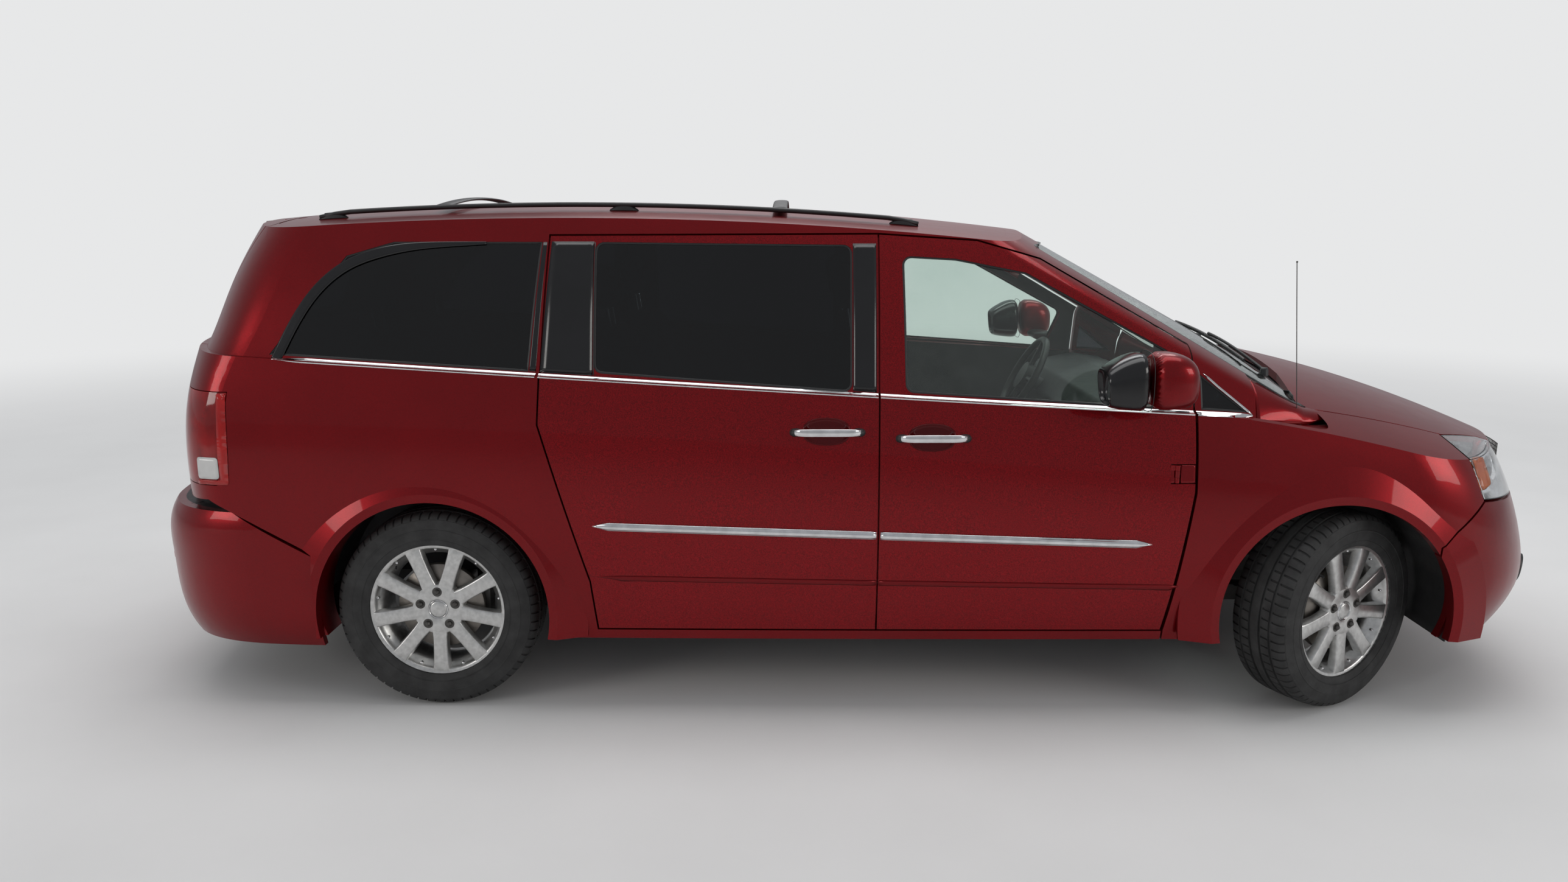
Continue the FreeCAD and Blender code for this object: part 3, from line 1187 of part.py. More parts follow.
TYRE_PROFILE = [
    ("rim_radius - 17.7", "0 - rim_width / 2 + 24"), ("rim_radius - 17.7", "0 - rim_width / 2 + 11.5"),
    ("rim_radius + 0.4", "0 - rim_width / 2 + 8.4"), ("rim_radius + 6", "0 - rim_width / 2 + 2"),
    ("rim_radius + 22", "0 - tyre_width / 2 + 6"), ("rim_radius + 48", "0 - tyre_width / 2"),
    ("rim_radius + 80", "0 - tyre_width / 2 + 5"), ("tyre_radius - 14", "0 - tyre_width / 2 + 14"),
    ("tyre_radius - 4", "0 - tyre_width / 2 + 25"), ("tyre_radius", "0 - tyre_width / 2 + 42"),
    ("tyre_radius", "tyre_width / 2 - 42"), ("tyre_radius - 4", "tyre_width / 2 - 25"),
    ("tyre_radius - 14", "tyre_width / 2 - 14"), ("rim_radius + 80", "tyre_width / 2 - 5"),
    ("rim_radius + 48", "tyre_width / 2"), ("rim_radius + 22", "tyre_width / 2 - 6"),
    ("rim_radius + 6", "rim_width / 2 - 2"), ("rim_radius + 0.4", "rim_width / 2 - 8.4"),
    ("rim_radius - 17.7", "rim_width / 2 - 11.5"), ("rim_radius - 17.7", "rim_width / 2 - 24"),
    ("rim_radius + 20", "rim_width / 2 - 10"), ("tyre_radius - 30", "tyre_width / 2 - 20"),
    ("tyre_radius - 14", "tyre_width / 2 - 36"), ("tyre_radius - 14", "0 - tyre_width / 2 + 36"),
    ("tyre_radius - 30", "0 - tyre_width / 2 + 20"), ("rim_radius + 20", "0 - rim_width / 2 + 10")]


def revolved(name, profile):
    body = doc.addObject("PartDesign::Body", name)
    body.Label = name
    sketch = sketch_on(body, name + "_profile", "XY_Plane")
    polygon(sketch, profile)
    turn = body.newObject("PartDesign::Revolution", name + "_turn")
    turn.Profile = sketch
    turn.ReferenceAxis = (sketch, ["V_Axis"])
    turn.Angle = 360
    parts[name] = body
    return body


def build_wheel(name):
    """An alloy wheel with its brake disc; the outer face looks along -Y."""
    body = revolved(name, RIM_PROFILE)
    doc.recompute()
    window = sketch_on(body, name + "_window", "XZ_Plane")
    half = math.pi / S.spokes
    inner, outer_edge = S.hub_radius + 4, S.rim_radius - 36
    near = inner * math.tan(half) - S.spoke_half * 0.72
    far = outer_edge * math.tan(half) - S.spoke_half
    corners = [(inner, -near), (outer_edge, -far), (outer_edge + 8, 0), (outer_edge, far), (inner, near)]
    for here, there in zip(corners, corners[1:] + corners[:1]):
        window.addGeometry(Part.LineSegment(Vector(*here, 0), Vector(*there, 0)), False)
    pocket = body.newObject("PartDesign::Pocket", name + "_gap")
    pocket.Profile = window
    pocket.Type = "Length"
    pocket.Length = 300
    pocket.Midplane = False
    pocket.SideType = "Symmetric"
    doc.recompute()
    spread = body.newObject("PartDesign::PolarPattern", name + "_spokes")
    spread.Originals = [pocket]
    spread.Axis = (window, ["N_Axis"])
    spread.Angle = 360
    spread.setExpression("Occurrences", "sheet.spokes")
    body.Tip = spread
    return body


def place_wheel(body, corner):
    front, side = corner
    steer = math.radians(S.steer_left) if front else 0
    x = FRONT_AXLE if front else REAR_AXLE
    inboard = S.kingpin_inset if front else 0
    pivot = Vector(x, side * (S.track / 2 - inboard), WHEEL_HEIGHT)
    reach = Vector(0, side * inboard, 0)
    turned = Rotation(Vector(0, 0, 1), math.degrees(steer)).multVec(reach)
    facing = math.degrees(steer) + (0 if side < 0 else 180)
    body.Placement = Placement(pivot + turned, Rotation(Vector(0, 0, 1), facing))


def build_steering_wheel():
    """Rim, three spokes and a padded middle, square to the column."""
    rim = Part.makeTorus(180, 15)
    hub = Part.makeCylinder(62, 40, Vector(0, 0, -25))
    spokes = [rod((0, 0, -8), (172 * math.cos(a), 172 * math.sin(a), 0), 11)
              for a in (0, math.pi, -math.pi / 2)]
    return fused([rim, hub] + spokes)


COLUMN_END = Vector(FIREWALL - 425, 380, 975)
COLUMN_AXIS = Vector(-175, 0, 95)


# Assembly
CORNERS = {"front_right": (True, -1), "front_left": (True, 1), "rear_right": (False, -1),
           "rear_left": (False, 1)}


def pair(name, shape):
    keep(name, both(shape))


def sided(name, shape):
    keep(name + "_right", shape)
    keep(name + "_left", mirrored(shape))


side_full = fused([side_right] + body_hinges())
keep("side_frame_right", side_full)
keep("side_frame_left", mirrored(fused([side_full.cut(fuel_pocket())] + fuel_pins())))
keep("fuel_door", build_fuel_lid())
keep("floor_pan", build_floor())
keep("roof_panel", build_roof())
keep("hood", whole(hood_right).fuse([hood_lug(), mirrored(hood_lug())]))
cowl_space = top_prism([(FIREWALL - 260, 60), (FIREWALL - 260, -775), (HOOD_REAR - 70, -775),
                        (HOOD_REAR - 20, -450), (HOOD_REAR + 20, 60)], low=700)
front_flare = flare(FRONT_AXLE, 1.6).cut(front_arch)
fender = front_piece(0, S.panel, fender_view, [hood_space, front_arch, cowl_space, upper_body(-S.gap)])
sided("fender", fused([fender, front_flare.common(region(fender_view))]))
keep("front_bumper", build_front_bumper())
lens, housing = build_lamps()
pair("headlamp_lenses", lens)
pair("headlamp_housings", housing)
keep("grille", build_grille())
door = build_front_door()
sided("door_front", door)
sided("door_glass", window_pane(door_window))
sided("mirror", build_mirror())
sided("mirror_glass", mirror_pane())
sided("door_trim", Part.makeCompound([build_handle(244, 969), build_moulding("door")]))
sided("sliding_door", door_leaf(slider, slider_window))
pair("slider_trim", Part.makeCompound([build_handle(-107, 989), build_moulding("slider")]))
pair("slider_glass", window_pane(slider_window))
pair("fixed_glass", Part.makeCompound([plain_pane(vent_window), plain_pane(quarter_window)]))
keep("windscreen", build_windscreen())
keep("cowl", build_cowl())
lamp = biggest(lower_wall(0, 40).common(region(inset(tail_lamp, 3))).cut(tailgate_cut(-3)))
studs = [rod((-2190, -1000, z), (-2190, -700, z), 8) for z in (850, 1050)]
pair("tail_lamps", fused([lamp] + [lower_wall(35, S.door_skin + 4.7).common(stud) for stud in studs]))
keep("tailgate", build_tailgate().fuse([gate_arm(GATE_HINGE_Y), gate_arm(-GATE_HINGE_Y)]))
keep("tailgate_glass", build_gate_glass())
keep("rear_bumper", build_rear_bumper())
keep("dashboard", build_dashboard())
wheel_part = keep("steering_wheel", build_steering_wheel())
wheel_part.Placement = Placement(COLUMN_END + COLUMN_AXIS.normalize() * 26,
                                 Rotation(Vector(0, 0, 1), COLUMN_AXIS))
keep("front_seats", Part.makeCompound([build_seat(330, y, S.seat_width)
                                       for y in (-S.seat_pitch / 2, S.seat_pitch / 2)]))
keep("middle_seats", Part.makeCompound([build_seat(-560, y, 520)
                                         for y in (-S.seat_pitch / 2, S.seat_pitch / 2)]))
keep("rear_seat", build_seat(-1440, 0, 1180, S.floor_top + 95))
keep("engine", build_engine())
keep("radiator", build_radiator())
keep("front_suspension", build_subframe())
keep("rear_axle", build_rear_axle())
keep("exhaust", build_exhaust())
keep("fuel_tank", build_tank())
keep("roof_rack", build_rack())
for name, corner in CORNERS.items():
    place_wheel(build_wheel("wheel_" + name), corner)
    place_wheel(revolved("tyre_" + name, TYRE_PROFILE), corner)
    if corner[0]:
        place_wheel(keep("knuckle_" + name.split("_")[1], build_knuckle()), corner)
doc.recompute()
problems = []
for obj in doc.Objects:
    if any(word in obj.State for word in ("Invalid", "Error")):
        problems.append(obj.Name + " failed")
for name, part in parts.items():
    if part.Shape.isNull() or not part.Shape.isValid():
        problems.append(name + " has no valid shape")
if problems:
    raise RuntimeError("; ".join(problems))
os.makedirs("parts", exist_ok=True)
for name, part in parts.items():
    part.Shape.exportStep(f"parts/{name}.step")
    print(name, len(part.Shape.Solids), round(part.Shape.Volume / 1e6, 2))
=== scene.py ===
import json
import math
import bmesh
import bpy
from mathutils import Matrix, Vector
from mathutils.bvhtree import BVHTree
from mathutils.geometry import delaunay_2d_cdt

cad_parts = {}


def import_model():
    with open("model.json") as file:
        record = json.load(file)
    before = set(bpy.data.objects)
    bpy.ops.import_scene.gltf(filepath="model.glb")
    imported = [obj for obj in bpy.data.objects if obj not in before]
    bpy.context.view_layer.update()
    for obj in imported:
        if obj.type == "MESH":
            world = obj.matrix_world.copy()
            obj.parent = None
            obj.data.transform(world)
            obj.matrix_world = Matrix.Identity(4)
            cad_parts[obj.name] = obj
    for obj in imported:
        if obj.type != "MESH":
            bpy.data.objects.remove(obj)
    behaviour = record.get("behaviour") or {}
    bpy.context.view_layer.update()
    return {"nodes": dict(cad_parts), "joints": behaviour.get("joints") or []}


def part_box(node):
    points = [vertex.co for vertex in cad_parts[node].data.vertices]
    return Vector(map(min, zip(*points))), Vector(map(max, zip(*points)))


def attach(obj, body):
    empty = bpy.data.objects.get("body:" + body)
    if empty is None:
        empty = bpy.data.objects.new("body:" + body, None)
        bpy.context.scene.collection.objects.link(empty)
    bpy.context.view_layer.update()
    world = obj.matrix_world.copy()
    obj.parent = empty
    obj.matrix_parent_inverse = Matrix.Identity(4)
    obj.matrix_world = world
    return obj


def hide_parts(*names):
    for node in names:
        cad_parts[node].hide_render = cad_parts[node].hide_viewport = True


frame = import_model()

# Metres, +X forward, +Y to the van's left, +Z up. The photograph shows the right side, at negative Y.
SIDES = {"right": -1, "left": 1}
UP = Vector((0, 0, 1))
nodes = frame["nodes"]

# Colours, as linear red, green and blue
CHERRY = (0.28, 0.0025, 0.0060)
CHERRY_DEEP = (0.13, 0.0012, 0.0032)
# Cherry darkened as painted shade, for the inside of the handles' cups
CHERRY_PAINTED_SHADE = (0.05, 0.0008, 0.0018)
BLACK_PLASTIC = (0.018, 0.018, 0.019)
GLOSS_BLACK = (0.006, 0.006, 0.007)
TRIM_PLASTIC = (0.060, 0.061, 0.064)
TRIM_LIGHT = (0.085, 0.084, 0.086)
SILVER = (0.62, 0.62, 0.61)
SEAT_GREY = (0.090, 0.092, 0.098)
TYRE_BLACK = (0.016, 0.016, 0.016)

# The lacquer's settings: metal flakes under a clear coat
METALLIC = 0.7
COAT = 0.32
COAT_SETTINGS = {"Coat_Roughness": 0.035, "Specular_IOR_Level": 0.2}
SHEET_AND_LINING = (("Metallic", METALLIC, 0.0), ("Roughness", 0.30, 0.62), ("Coat Weight", COAT, 0.0))


# Materials
def new_material(name):
    """A material with its nodes and its shader."""
    material = bpy.data.materials.new(name)
    material.use_nodes = True
    tree = material.node_tree
    return material, tree, tree.nodes["Principled BSDF"]


def add(tree, kind, **values):
    """A new node with its settings and the values of its inputs."""
    node = tree.nodes.new(kind)
    for key, value in values.items():
        if hasattr(node, key):
            setattr(node, key, value)
        else:
            node.inputs[key.replace("_", " ")].default_value = value
    return node


def wire(tree, *pairs):
    """Links from outputs to inputs."""
    for source, target in pairs:
        tree.links.new(source, target)


def place_source(tree):
    return add(tree, "ShaderNodeTexCoord").outputs["Object"]


def texture(tree, kind, **values):
    """A texture over the piece's own space, in metres."""
    node = add(tree, kind, **values)
    wire(tree, (place_source(tree), node.inputs["Vector"]))
    return node


def noise(tree, scale, detail=4.0):
    """Noise with its features per metre as the scale."""
    return texture(tree, "ShaderNodeTexNoise", Scale=scale, Detail=detail, Roughness=0.5).outputs["Fac"]


def ramp(tree, factor, low, high, start=0.35, end=0.65):
    """A colour that runs from low to high."""
    node = add(tree, "ShaderNodeValToRGB")
    for element, place, colour in zip(node.color_ramp.elements, (start, end), (low, high)):
        element.position = place
        element.color = (*colour, 1)
    wire(tree, (factor, node.inputs["Fac"]))
    return node.outputs["Color"]


def spread(tree, factor, low, high):
    """A number that runs from low to high."""
    node = add(tree, "ShaderNodeMapRange", To_Min=low, To_Max=high)
    wire(tree, (factor, node.inputs["Value"]))
    return node.outputs["Result"]


def maths(tree, operation, *factors):
    """The product, the larger or the like of outputs and numbers."""
    node = add(tree, "ShaderNodeMath", operation=operation)
    for slot, factor in zip(node.inputs, factors):
        if isinstance(factor, float):
            slot.default_value = factor
        else:
            wire(tree, (factor, slot))
    return node.outputs[0]


def bump(tree, shader, height, strength, distance):
    node = add(tree, "ShaderNodeBump", Strength=strength, Distance=distance)
    wire(tree, (height, node.inputs["Height"]), (node.outputs["Normal"], shader.inputs["Normal"]))


def settings(shader, **values):
    for key, value in values.items():
        shader.inputs[key.replace("_", " ")].default_value = value


def dress(tree, shader, colour, rough):
    wire(tree, (colour, shader.inputs["Base Color"]), (rough, shader.inputs["Roughness"]))


def drifting(name, colours, size, rough, rough_size, **values):
    """A material whose colour and roughness drift between two values, with features of two sizes."""
    material, tree, shader = new_material(name)
    colour = ramp(tree, noise(tree, size), *colours)
    dress(tree, shader, colour, spread(tree, noise(tree, rough_size), *rough))
    settings(shader, **values)
    return material


def scaled(colour, share):
    return tuple(share * c for c in colour)


def paint_material(name="paint", light=CHERRY, dark=CHERRY_DEEP):
    """Metallic lacquer: small flakes, faint unevenness and a clear coat."""
    material, tree, shader = new_material(name)
    flakes = texture(tree, "ShaderNodeTexVoronoi", Scale=900.0).outputs["Distance"]
    cloud = spread(tree, noise(tree, 3.0, 2.0), 0.7, 1.3)
    colour = ramp(tree, maths(tree, "MULTIPLY", flakes, cloud), light, dark, 0.1, 0.75)
    dress(tree, shader, colour, spread(tree, noise(tree, 14.0), 0.26, 0.34))
    settings(shader, Metallic=METALLIC, Coat_Weight=COAT, **COAT_SETTINGS)
    return material


def plastic_material(name, colour, rough, grain=900.0, depth=0.00025):
    """Moulded plastic with a fine leather grain."""
    material = drifting(name, (scaled(colour, 0.72), colour), 6.0, (rough - 0.07, rough + 0.09), 40.0)
    tree = material.node_tree
    cells = texture(tree, "ShaderNodeTexVoronoi", Scale=grain).outputs["Distance"]
    bump(tree, tree.nodes["Principled BSDF"], cells, 0.35, depth)
    return material


def metal_material(name, colour, rough, uneven, scale=25.0, metallic=1.0):
    return drifting(name, (scaled(colour, 0.8), colour), scale, (rough, rough + uneven), 3 * scale,
                    Metallic=metallic)


def glass_material(name, colour, deep):
    """Tinted glass with a faint film of dust."""
    return drifting(name, (deep, colour), 2.2, (0.0, 0.025), 9.0, IOR=1.45, Transmission_Weight=1.0)


def lens_material(name, colour, deep, rough=0.06, clear=1.0):
    """Moulded lamp lens."""
    return drifting(name, (deep, colour), 12.0, (0.03, rough), 60.0, IOR=1.49, Transmission_Weight=clear)


def rubber_material():
    """Tyre rubber, dusty in places, with a fine bump."""
    material, tree, shader = new_material("tyre")
    colour = ramp(tree, noise(tree, 18.0, 6.0), TYRE_BLACK, scaled(TYRE_BLACK, 2.3), 0.4, 0.8)
    dress(tree, shader, colour, spread(tree, noise(tree, 70.0), 0.62, 0.85))
    bump(tree, shader, noise(tree, 800.0), 0.3, 0.0003)
    return material


def cloth_material():
    """Woven seat cloth: two crossed sets of threads with a soft sheen."""
    material, tree, shader = new_material("seat_cloth")
    threads = []
    for stretch in ((900.0, 140.0, 900.0), (140.0, 900.0, 140.0)):
        wave = add(tree, "ShaderNodeTexNoise", Scale=1.0, Detail=2.0)
        mapping = add(tree, "ShaderNodeMapping", Scale=stretch)
        wire(tree, (place_source(tree), mapping.inputs["Vector"]),
             (mapping.outputs["Vector"], wave.inputs["Vector"]))
        threads.append(wave.outputs["Fac"])
    height = maths(tree, "MAXIMUM", *threads)
    colour = ramp(tree, height, SEAT_GREY, scaled(SEAT_GREY, 1.7), 0.45, 0.75)
    dress(tree, shader, colour, spread(tree, noise(tree, 30.0), 0.78, 0.95))
    settings(shader, Sheen_Weight=0.35)
    bump(tree, shader, height, 0.5, 0.0006)
    return material


def two_sided(name, outside, inside):
    """Painted sheet with a moulded lining: faces that look inwards get the lining."""
    material, tree, shader = new_material(name)
    coordinates = add(tree, "ShaderNodeTexCoord")
    across = []
    for source in ("Object", "Normal"):
        part = add(tree, "ShaderNodeSeparateXYZ")
        wire(tree, (coordinates.outputs[source], part.inputs["Vector"]))
        across.append(part.outputs["Y"])
    inner = maths(tree, "LESS_THAN", maths(tree, "MULTIPLY", *across), -0.12)
    colour = add(tree, "ShaderNodeMix", data_type="RGBA")
    wire(tree, (inner, colour.inputs["Factor"]),
         (ramp(tree, noise(tree, 300.0), *outside), colour.inputs["A"]),
         (ramp(tree, noise(tree, 8.0), *inside), colour.inputs["B"]),
         (colour.outputs["Result"], shader.inputs["Base Color"]))
    for socket, sheet, lining in SHEET_AND_LINING:
        wire(tree, (spread(tree, inner, sheet, lining), shader.inputs[socket]))
    settings(shader, **COAT_SETTINGS)
    return material


paint = paint_material()
door_paint = two_sided("door_paint", (CHERRY_DEEP, CHERRY), (TRIM_PLASTIC, TRIM_LIGHT))
black_plastic = plastic_material("black_plastic", BLACK_PLASTIC, 0.45)
gloss_black = plastic_material("gloss_black", GLOSS_BLACK, 0.16, depth=0.00002)
# Paint darkened to paint the shade inside the handles' cups
painted_shade = paint_material("painted_shade", CHERRY_DEEP, CHERRY_PAINTED_SHADE)
trim_plastic = plastic_material("trim_plastic", TRIM_PLASTIC, 0.6, 600.0)
chrome = metal_material("chrome", (0.78, 0.78, 0.79), 0.05, 0.04)
alloy = metal_material("alloy", SILVER, 0.26, 0.08, 60.0, metallic=0.9)
dark_steel = metal_material("dark_steel", (0.12, 0.115, 0.11), 0.42, 0.2)
engine_metal = metal_material("engine_metal", (0.26, 0.26, 0.25), 0.45, 0.2)
exhaust_steel = metal_material("exhaust_steel", (0.34, 0.31, 0.28), 0.35, 0.25)
glass_light = glass_material("glass_light", (0.80, 0.88, 0.84), (0.74, 0.83, 0.79))
glass_dark = glass_material("glass_dark", (0.030, 0.034, 0.040), (0.020, 0.023, 0.028))
lens_clear = lens_material("lens_clear", (0.93, 0.94, 0.95), (0.88, 0.9, 0.92))
lens_red = lens_material("lens_red", (0.42, 0.006, 0.007), (0.26, 0.003, 0.004), 0.06, 0.45)
lamp_housing = metal_material("lamp_housing", (0.55, 0.55, 0.56), 0.12, 0.08)
tyre_rubber = rubber_material()
seat_cloth = cloth_material()
mirror_glass = metal_material("mirror_glass", (0.85, 0.87, 0.88), 0.01, 0.01)

# The starts of the names of the nodes that a material covers. The longest start wins.
COVERED = (
    (paint, "side_frame fuel_door roof_panel hood fender front_bumper mirror tailgate rear_bumper"),
    (door_paint, "door_front sliding_door"),
    (black_plastic, "floor_pan cowl steering_wheel fuel_tank roof_rack"),
    (chrome, "grille door_trim slider_trim"), (glass_light, "door_glass windscreen"),
    (glass_dark, "slider_glass fixed_glass tailgate_glass"), (lens_clear, "headlamp_lenses"),
    (lamp_housing, "headlamp_housings"), (lens_red, "tail_lamps"), (trim_plastic, "dashboard"),
    (seat_cloth, "front_seats middle_seats rear_seat"), (engine_metal, "engine"),
    (dark_steel, "radiator front_suspension rear_axle knuckle"), (exhaust_steel, "exhaust"), (alloy, "wheel"),
    (tyre_rubber, "tyre"), (mirror_glass, "mirror_glass"))


def dress_nodes():
    starts = {start: material for material, names in COVERED for start in names.split()}
    for name, piece in nodes.items():
        start = max((start for start in starts if name.startswith(start)), key=len)
        for place in piece.material_slots:
            place.material = starts[start]
        if not piece.material_slots:
            piece.data.materials.append(starts[start])


dress_nodes()


# Shapes
def placed(name, data):
    piece = bpy.data.objects.new(name, data)
    bpy.context.scene.collection.objects.link(piece)
    return piece


def make(name, corners, faces, material, body, smooth=True):
    """A mesh piece that rides on a body."""
    mesh = bpy.data.meshes.new(name)
    mesh.from_pydata([tuple(c) for c in corners], [], faces)
    mesh.update()
    if smooth:
        mesh.shade_smooth()
    mesh.materials.append(material)
    piece = placed(name, mesh)
    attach(piece, body)
    return piece


def soften(piece):
    modifier = piece.modifiers.new("soft", "SUBSURF")
    modifier.levels = modifier.render_levels = 1
    return piece


def rounded_edges(piece, width, segments, angle=35):
    modifier = piece.modifiers.new("edges", "BEVEL")
    modifier.width = width
    modifier.segments = segments
    modifier.limit_method = "ANGLE"
    modifier.angle_limit = math.radians(angle)
    return piece


def thicken(piece, thickness, offset=0):
    modifier = piece.modifiers.new("thickness", "SOLIDIFY")
    modifier.thickness = thickness
    modifier.offset = offset
    return piece


def crease(piece, angle):
    """Edges sharper than this stay sharp in the shading."""
    work = bmesh.new()
    work.from_mesh(piece.data)
    for edge in work.edges:
        if len(edge.link_faces) == 2 and edge.calc_face_angle(0) > math.radians(angle):
            edge.smooth = False
    work.to_mesh(piece.data)
    work.free()
    return piece


def rings(rows, ring, closed_ring=True, closed_route=False):
    """Faces between rows of equal numbers of corners."""
    faces = []
    for i in range(rows if closed_route else rows - 1):
        a, b = i * ring, (i + 1) % rows * ring
        for j in range(ring if closed_ring else ring - 1):
            k = (j + 1) % ring
            faces.append((a + j, a + k, b + k, b + j))
    return faces


def flattened(rows):
    return [corner for row in rows for corner in row]


def capped(sections):
    """Corners and faces through equal sections, closed at both ends."""
    ring = len(sections[0])
    count = len(sections) * ring
    ends = [tuple(range(ring))[::-1], tuple(range(count - ring, count))]
    return flattened(sections), rings(len(sections), ring) + ends


def swept(name, sections, material, body, closed=False, caps=True):
    """A piece through equal sections, each a list of corners."""
    if caps and not closed:
        return make(name, *capped(sections), material, body)
    faces = rings(len(sections), len(sections[0]), True, closed)
    return make(name, flattened(sections), faces, material, body)


def grid_piece(name, rows, material, body, thickness):
    """A thin sheet through rows of corners."""
    faces = rings(len(rows), len(rows[0]), False)
    return thicken(make(name, flattened(rows), faces, material, body), thickness)


def lathe(profile, steps, matrix):
    """Corners and faces of a profile of (radius, along) turned about the matrix's Y axis."""
    corners = []
    for step in range(steps):
        turn = 2 * math.pi * step / steps
        corners += [matrix @ Vector((radius * math.sin(turn), along_axis, radius * math.cos(turn)))
                    for radius, along_axis in profile]
    return corners, rings(steps, len(profile), False, True)


def turned(name, profile, matrix, material, body, steps):
    return make(name, *lathe(profile, steps, matrix), material, body)


def joined(name, parts, material, body, smooth=True):
    """One mesh piece of several lists of corners and faces."""
    corners, faces = [], []
    for some_corners, some_faces in parts:
        start = len(corners)
        corners += list(some_corners)
        faces += [tuple(i + start for i in face) for face in some_faces]
    return make(name, corners, faces, material, body, smooth)


def superellipse(count, power):
    """A rounded square of half width 1; the higher the power, the squarer."""
    out = []
    for i in range(count):
        turn = 2 * math.pi * i / count
        pair = (math.cos(turn), math.sin(turn))
        out.append(tuple(math.copysign(abs(part) ** (2 / power), part) for part in pair))
    return out


def along(points, step):
    """Points spaced evenly along a polyline."""
    out = []
    for a, b in zip(points, points[1:]):
        a, b = Vector(a), Vector(b)
        count = max(1, round((b - a).length / step))
        out += [a.lerp(b, i / count) for i in range(count)]
    return out + [Vector(points[-1])]


def smoothed(rows, times):
    """Rows of places evened out along their route."""
    for turn in range(times):
        for a, b, c in zip(rows, rows[1:], rows[2:]):
            for k, place in enumerate(b):
                b[k] = (a[k] + 2 * place + c[k]) / 4
    return rows


# The outer skin, for pieces that lie on it
SKIN = ("side_frame", "door_front", "sliding_door", "fender", "front_bumper", "rear_bumper", "tailgate",
        "hood", "roof_panel", "cowl", "windscreen", "door_glass", "slider_glass", "fixed_glass", "tail_lamps",
        "headlamp_lenses")
# Rays start this far from the origin: ahead or behind, beside and above
BEYOND_ENDS = 3.2
BEYOND_SIDES = 1.4
ABOVE = 2.4
SHUT_LINE_REACH = 0.009   # a shut line counts as the edges this far beside it
SHUT_LINE_DEPTH = 0.004


def skin_tree():
    corners, faces = [], []
    for name, piece in nodes.items():
        if name.startswith(SKIN):
            start = len(corners)
            corners += [corner.co.copy() for corner in piece.data.vertices]
            faces += [tuple(i + start for i in face.vertices) for face in piece.data.polygons]
    return BVHTree.FromPolygons(corners, faces)


skin = skin_tree()


def hit(origin, direction):
    """Where a ray meets the skin and the normal there, turned to face it."""
    place, normal = skin.ray_cast(Vector(origin), Vector(direction))[:2]
    if place is None:
        return None, None
    return place, -normal if normal.dot(Vector(direction)) > 0 else normal


def front_hit(y, z):
    return hit((BEYOND_ENDS, y, z), (-1, 0, 0))


def rear_hit(y, z):
    return hit((-BEYOND_ENDS, y, z), (1, 0, 0))


def top_hit(x, y):
    return hit((x, y, ABOVE), (0, 0, -1))


def flank_hit(x, z, side):
    return hit((x, side * BEYOND_SIDES, z), (0, -side, 0))


def side_hit(x, z, side):
    """The body side's skin at a place in the side view. A shut line counts as its edges."""
    best = None
    for step in (0, -SHUT_LINE_REACH, SHUT_LINE_REACH):
        place, normal = flank_hit(x + step, z, side)
        if place is not None and (best is None or side * (place.y - best[0].y) > SHUT_LINE_DEPTH):
            best = (place, normal)
    if best is None:
        raise ValueError(f"no skin at x {x}, z {z}")
    return Vector((x, best[0].y, z)), best[1]


def roof_at(x, y):
    """The skin from above. A shut line counts as its edges."""
    for step in (0, -0.012, 0.012, -0.03, 0.03):
        place, normal = top_hit(x, y + step)
        if place is not None:
            return Vector((x, y, place.z)), normal
    raise ValueError(f"no skin under x {x}, y {y}")


def over(x, y, lift):
    return roof_at(x, y)[0] + UP * lift


def raised(levels, shape, find):
    """Sections that stand on the skin: levels are (share of the shape, lift), and find gives the skin."""
    rows = []
    for share, lift in levels:
        spots = [find(share * u, share * v) for u, v in shape]
        rows.append([place + normal * lift for place, normal in spots])
    return rows


POINT = 0.12              # a sharp end's width, as a share of the strip's
THIN = 0.4                # its height, likewise


def strip(name, points, side, profile, material, body, sharp=(0, 0), step=0.02):
    """A strip along the body side. Its section is (across, outwards); sharp ends come to a point."""
    route = along(points, step)
    length = sum((b - a).length for a, b in zip(route, route[1:]))
    rows, gone = [], 0.0
    for i, here in enumerate(route):
        tangent = (route[min(i + 1, len(route) - 1)] - route[max(i - 1, 0)]).normalized()
        across = Vector((-tangent.y, tangent.x))
        if i:
            gone += (here - route[i - 1]).length
        size = 1.0
        for reach, left in zip(sharp, (gone, length - gone)):
            if reach:
                size = min(size, POINT + left / reach)
        row = []
        for u, w in profile:
            spot = here + across * (u * size)
            place, normal = side_hit(spot.x, spot.y, side)
            row.append([place, normal, w * (THIN + (1 - THIN) * size) if w > 0 else w])
        rows.append(row)
    for turn in range(6):
        for before, row, after in zip(rows, rows[1:], rows[2:]):
            for a, item, c in zip(before, row, after):
                item[0].y = (a[0].y + 2 * item[0].y + c[0].y) / 4
                item[1] = (a[1] + 2 * item[1] + c[1]).normalized()
    sections = [[place + normal * lift for place, normal, lift in row] for row in rows]
    return swept(name, sections, material, body)


def inside(point, outline):
    """Whether a point of the side view is inside an outline."""
    found = False
    x, z = point
    for (x0, z0), (x1, z1) in zip(outline, outline[1:] + outline[:1]):
        if (z0 > z) != (z1 > z) and x < x0 + (z - z0) * (x1 - x0) / (z1 - z0):
            found = not found
    return found


def rounded_outline(points, radius, steps=5):
    """The outline with its corners cut round."""
    out = []
    for i, point in enumerate(points):
        here = Vector(point)
        back, ahead = Vector(points[i - 1]) - here, Vector(points[(i + 1) % len(points)]) - here
        reach = min(radius, 0.45 * back.length, 0.45 * ahead.length)
        start, end = here + back.normalized() * reach, here + ahead.normalized() * reach
        for k in range(steps + 1):
            t = k / steps
            out.append(tuple(start * (1 - t) ** 2 + here * (2 * t * (1 - t)) + end * t ** 2))
    return out


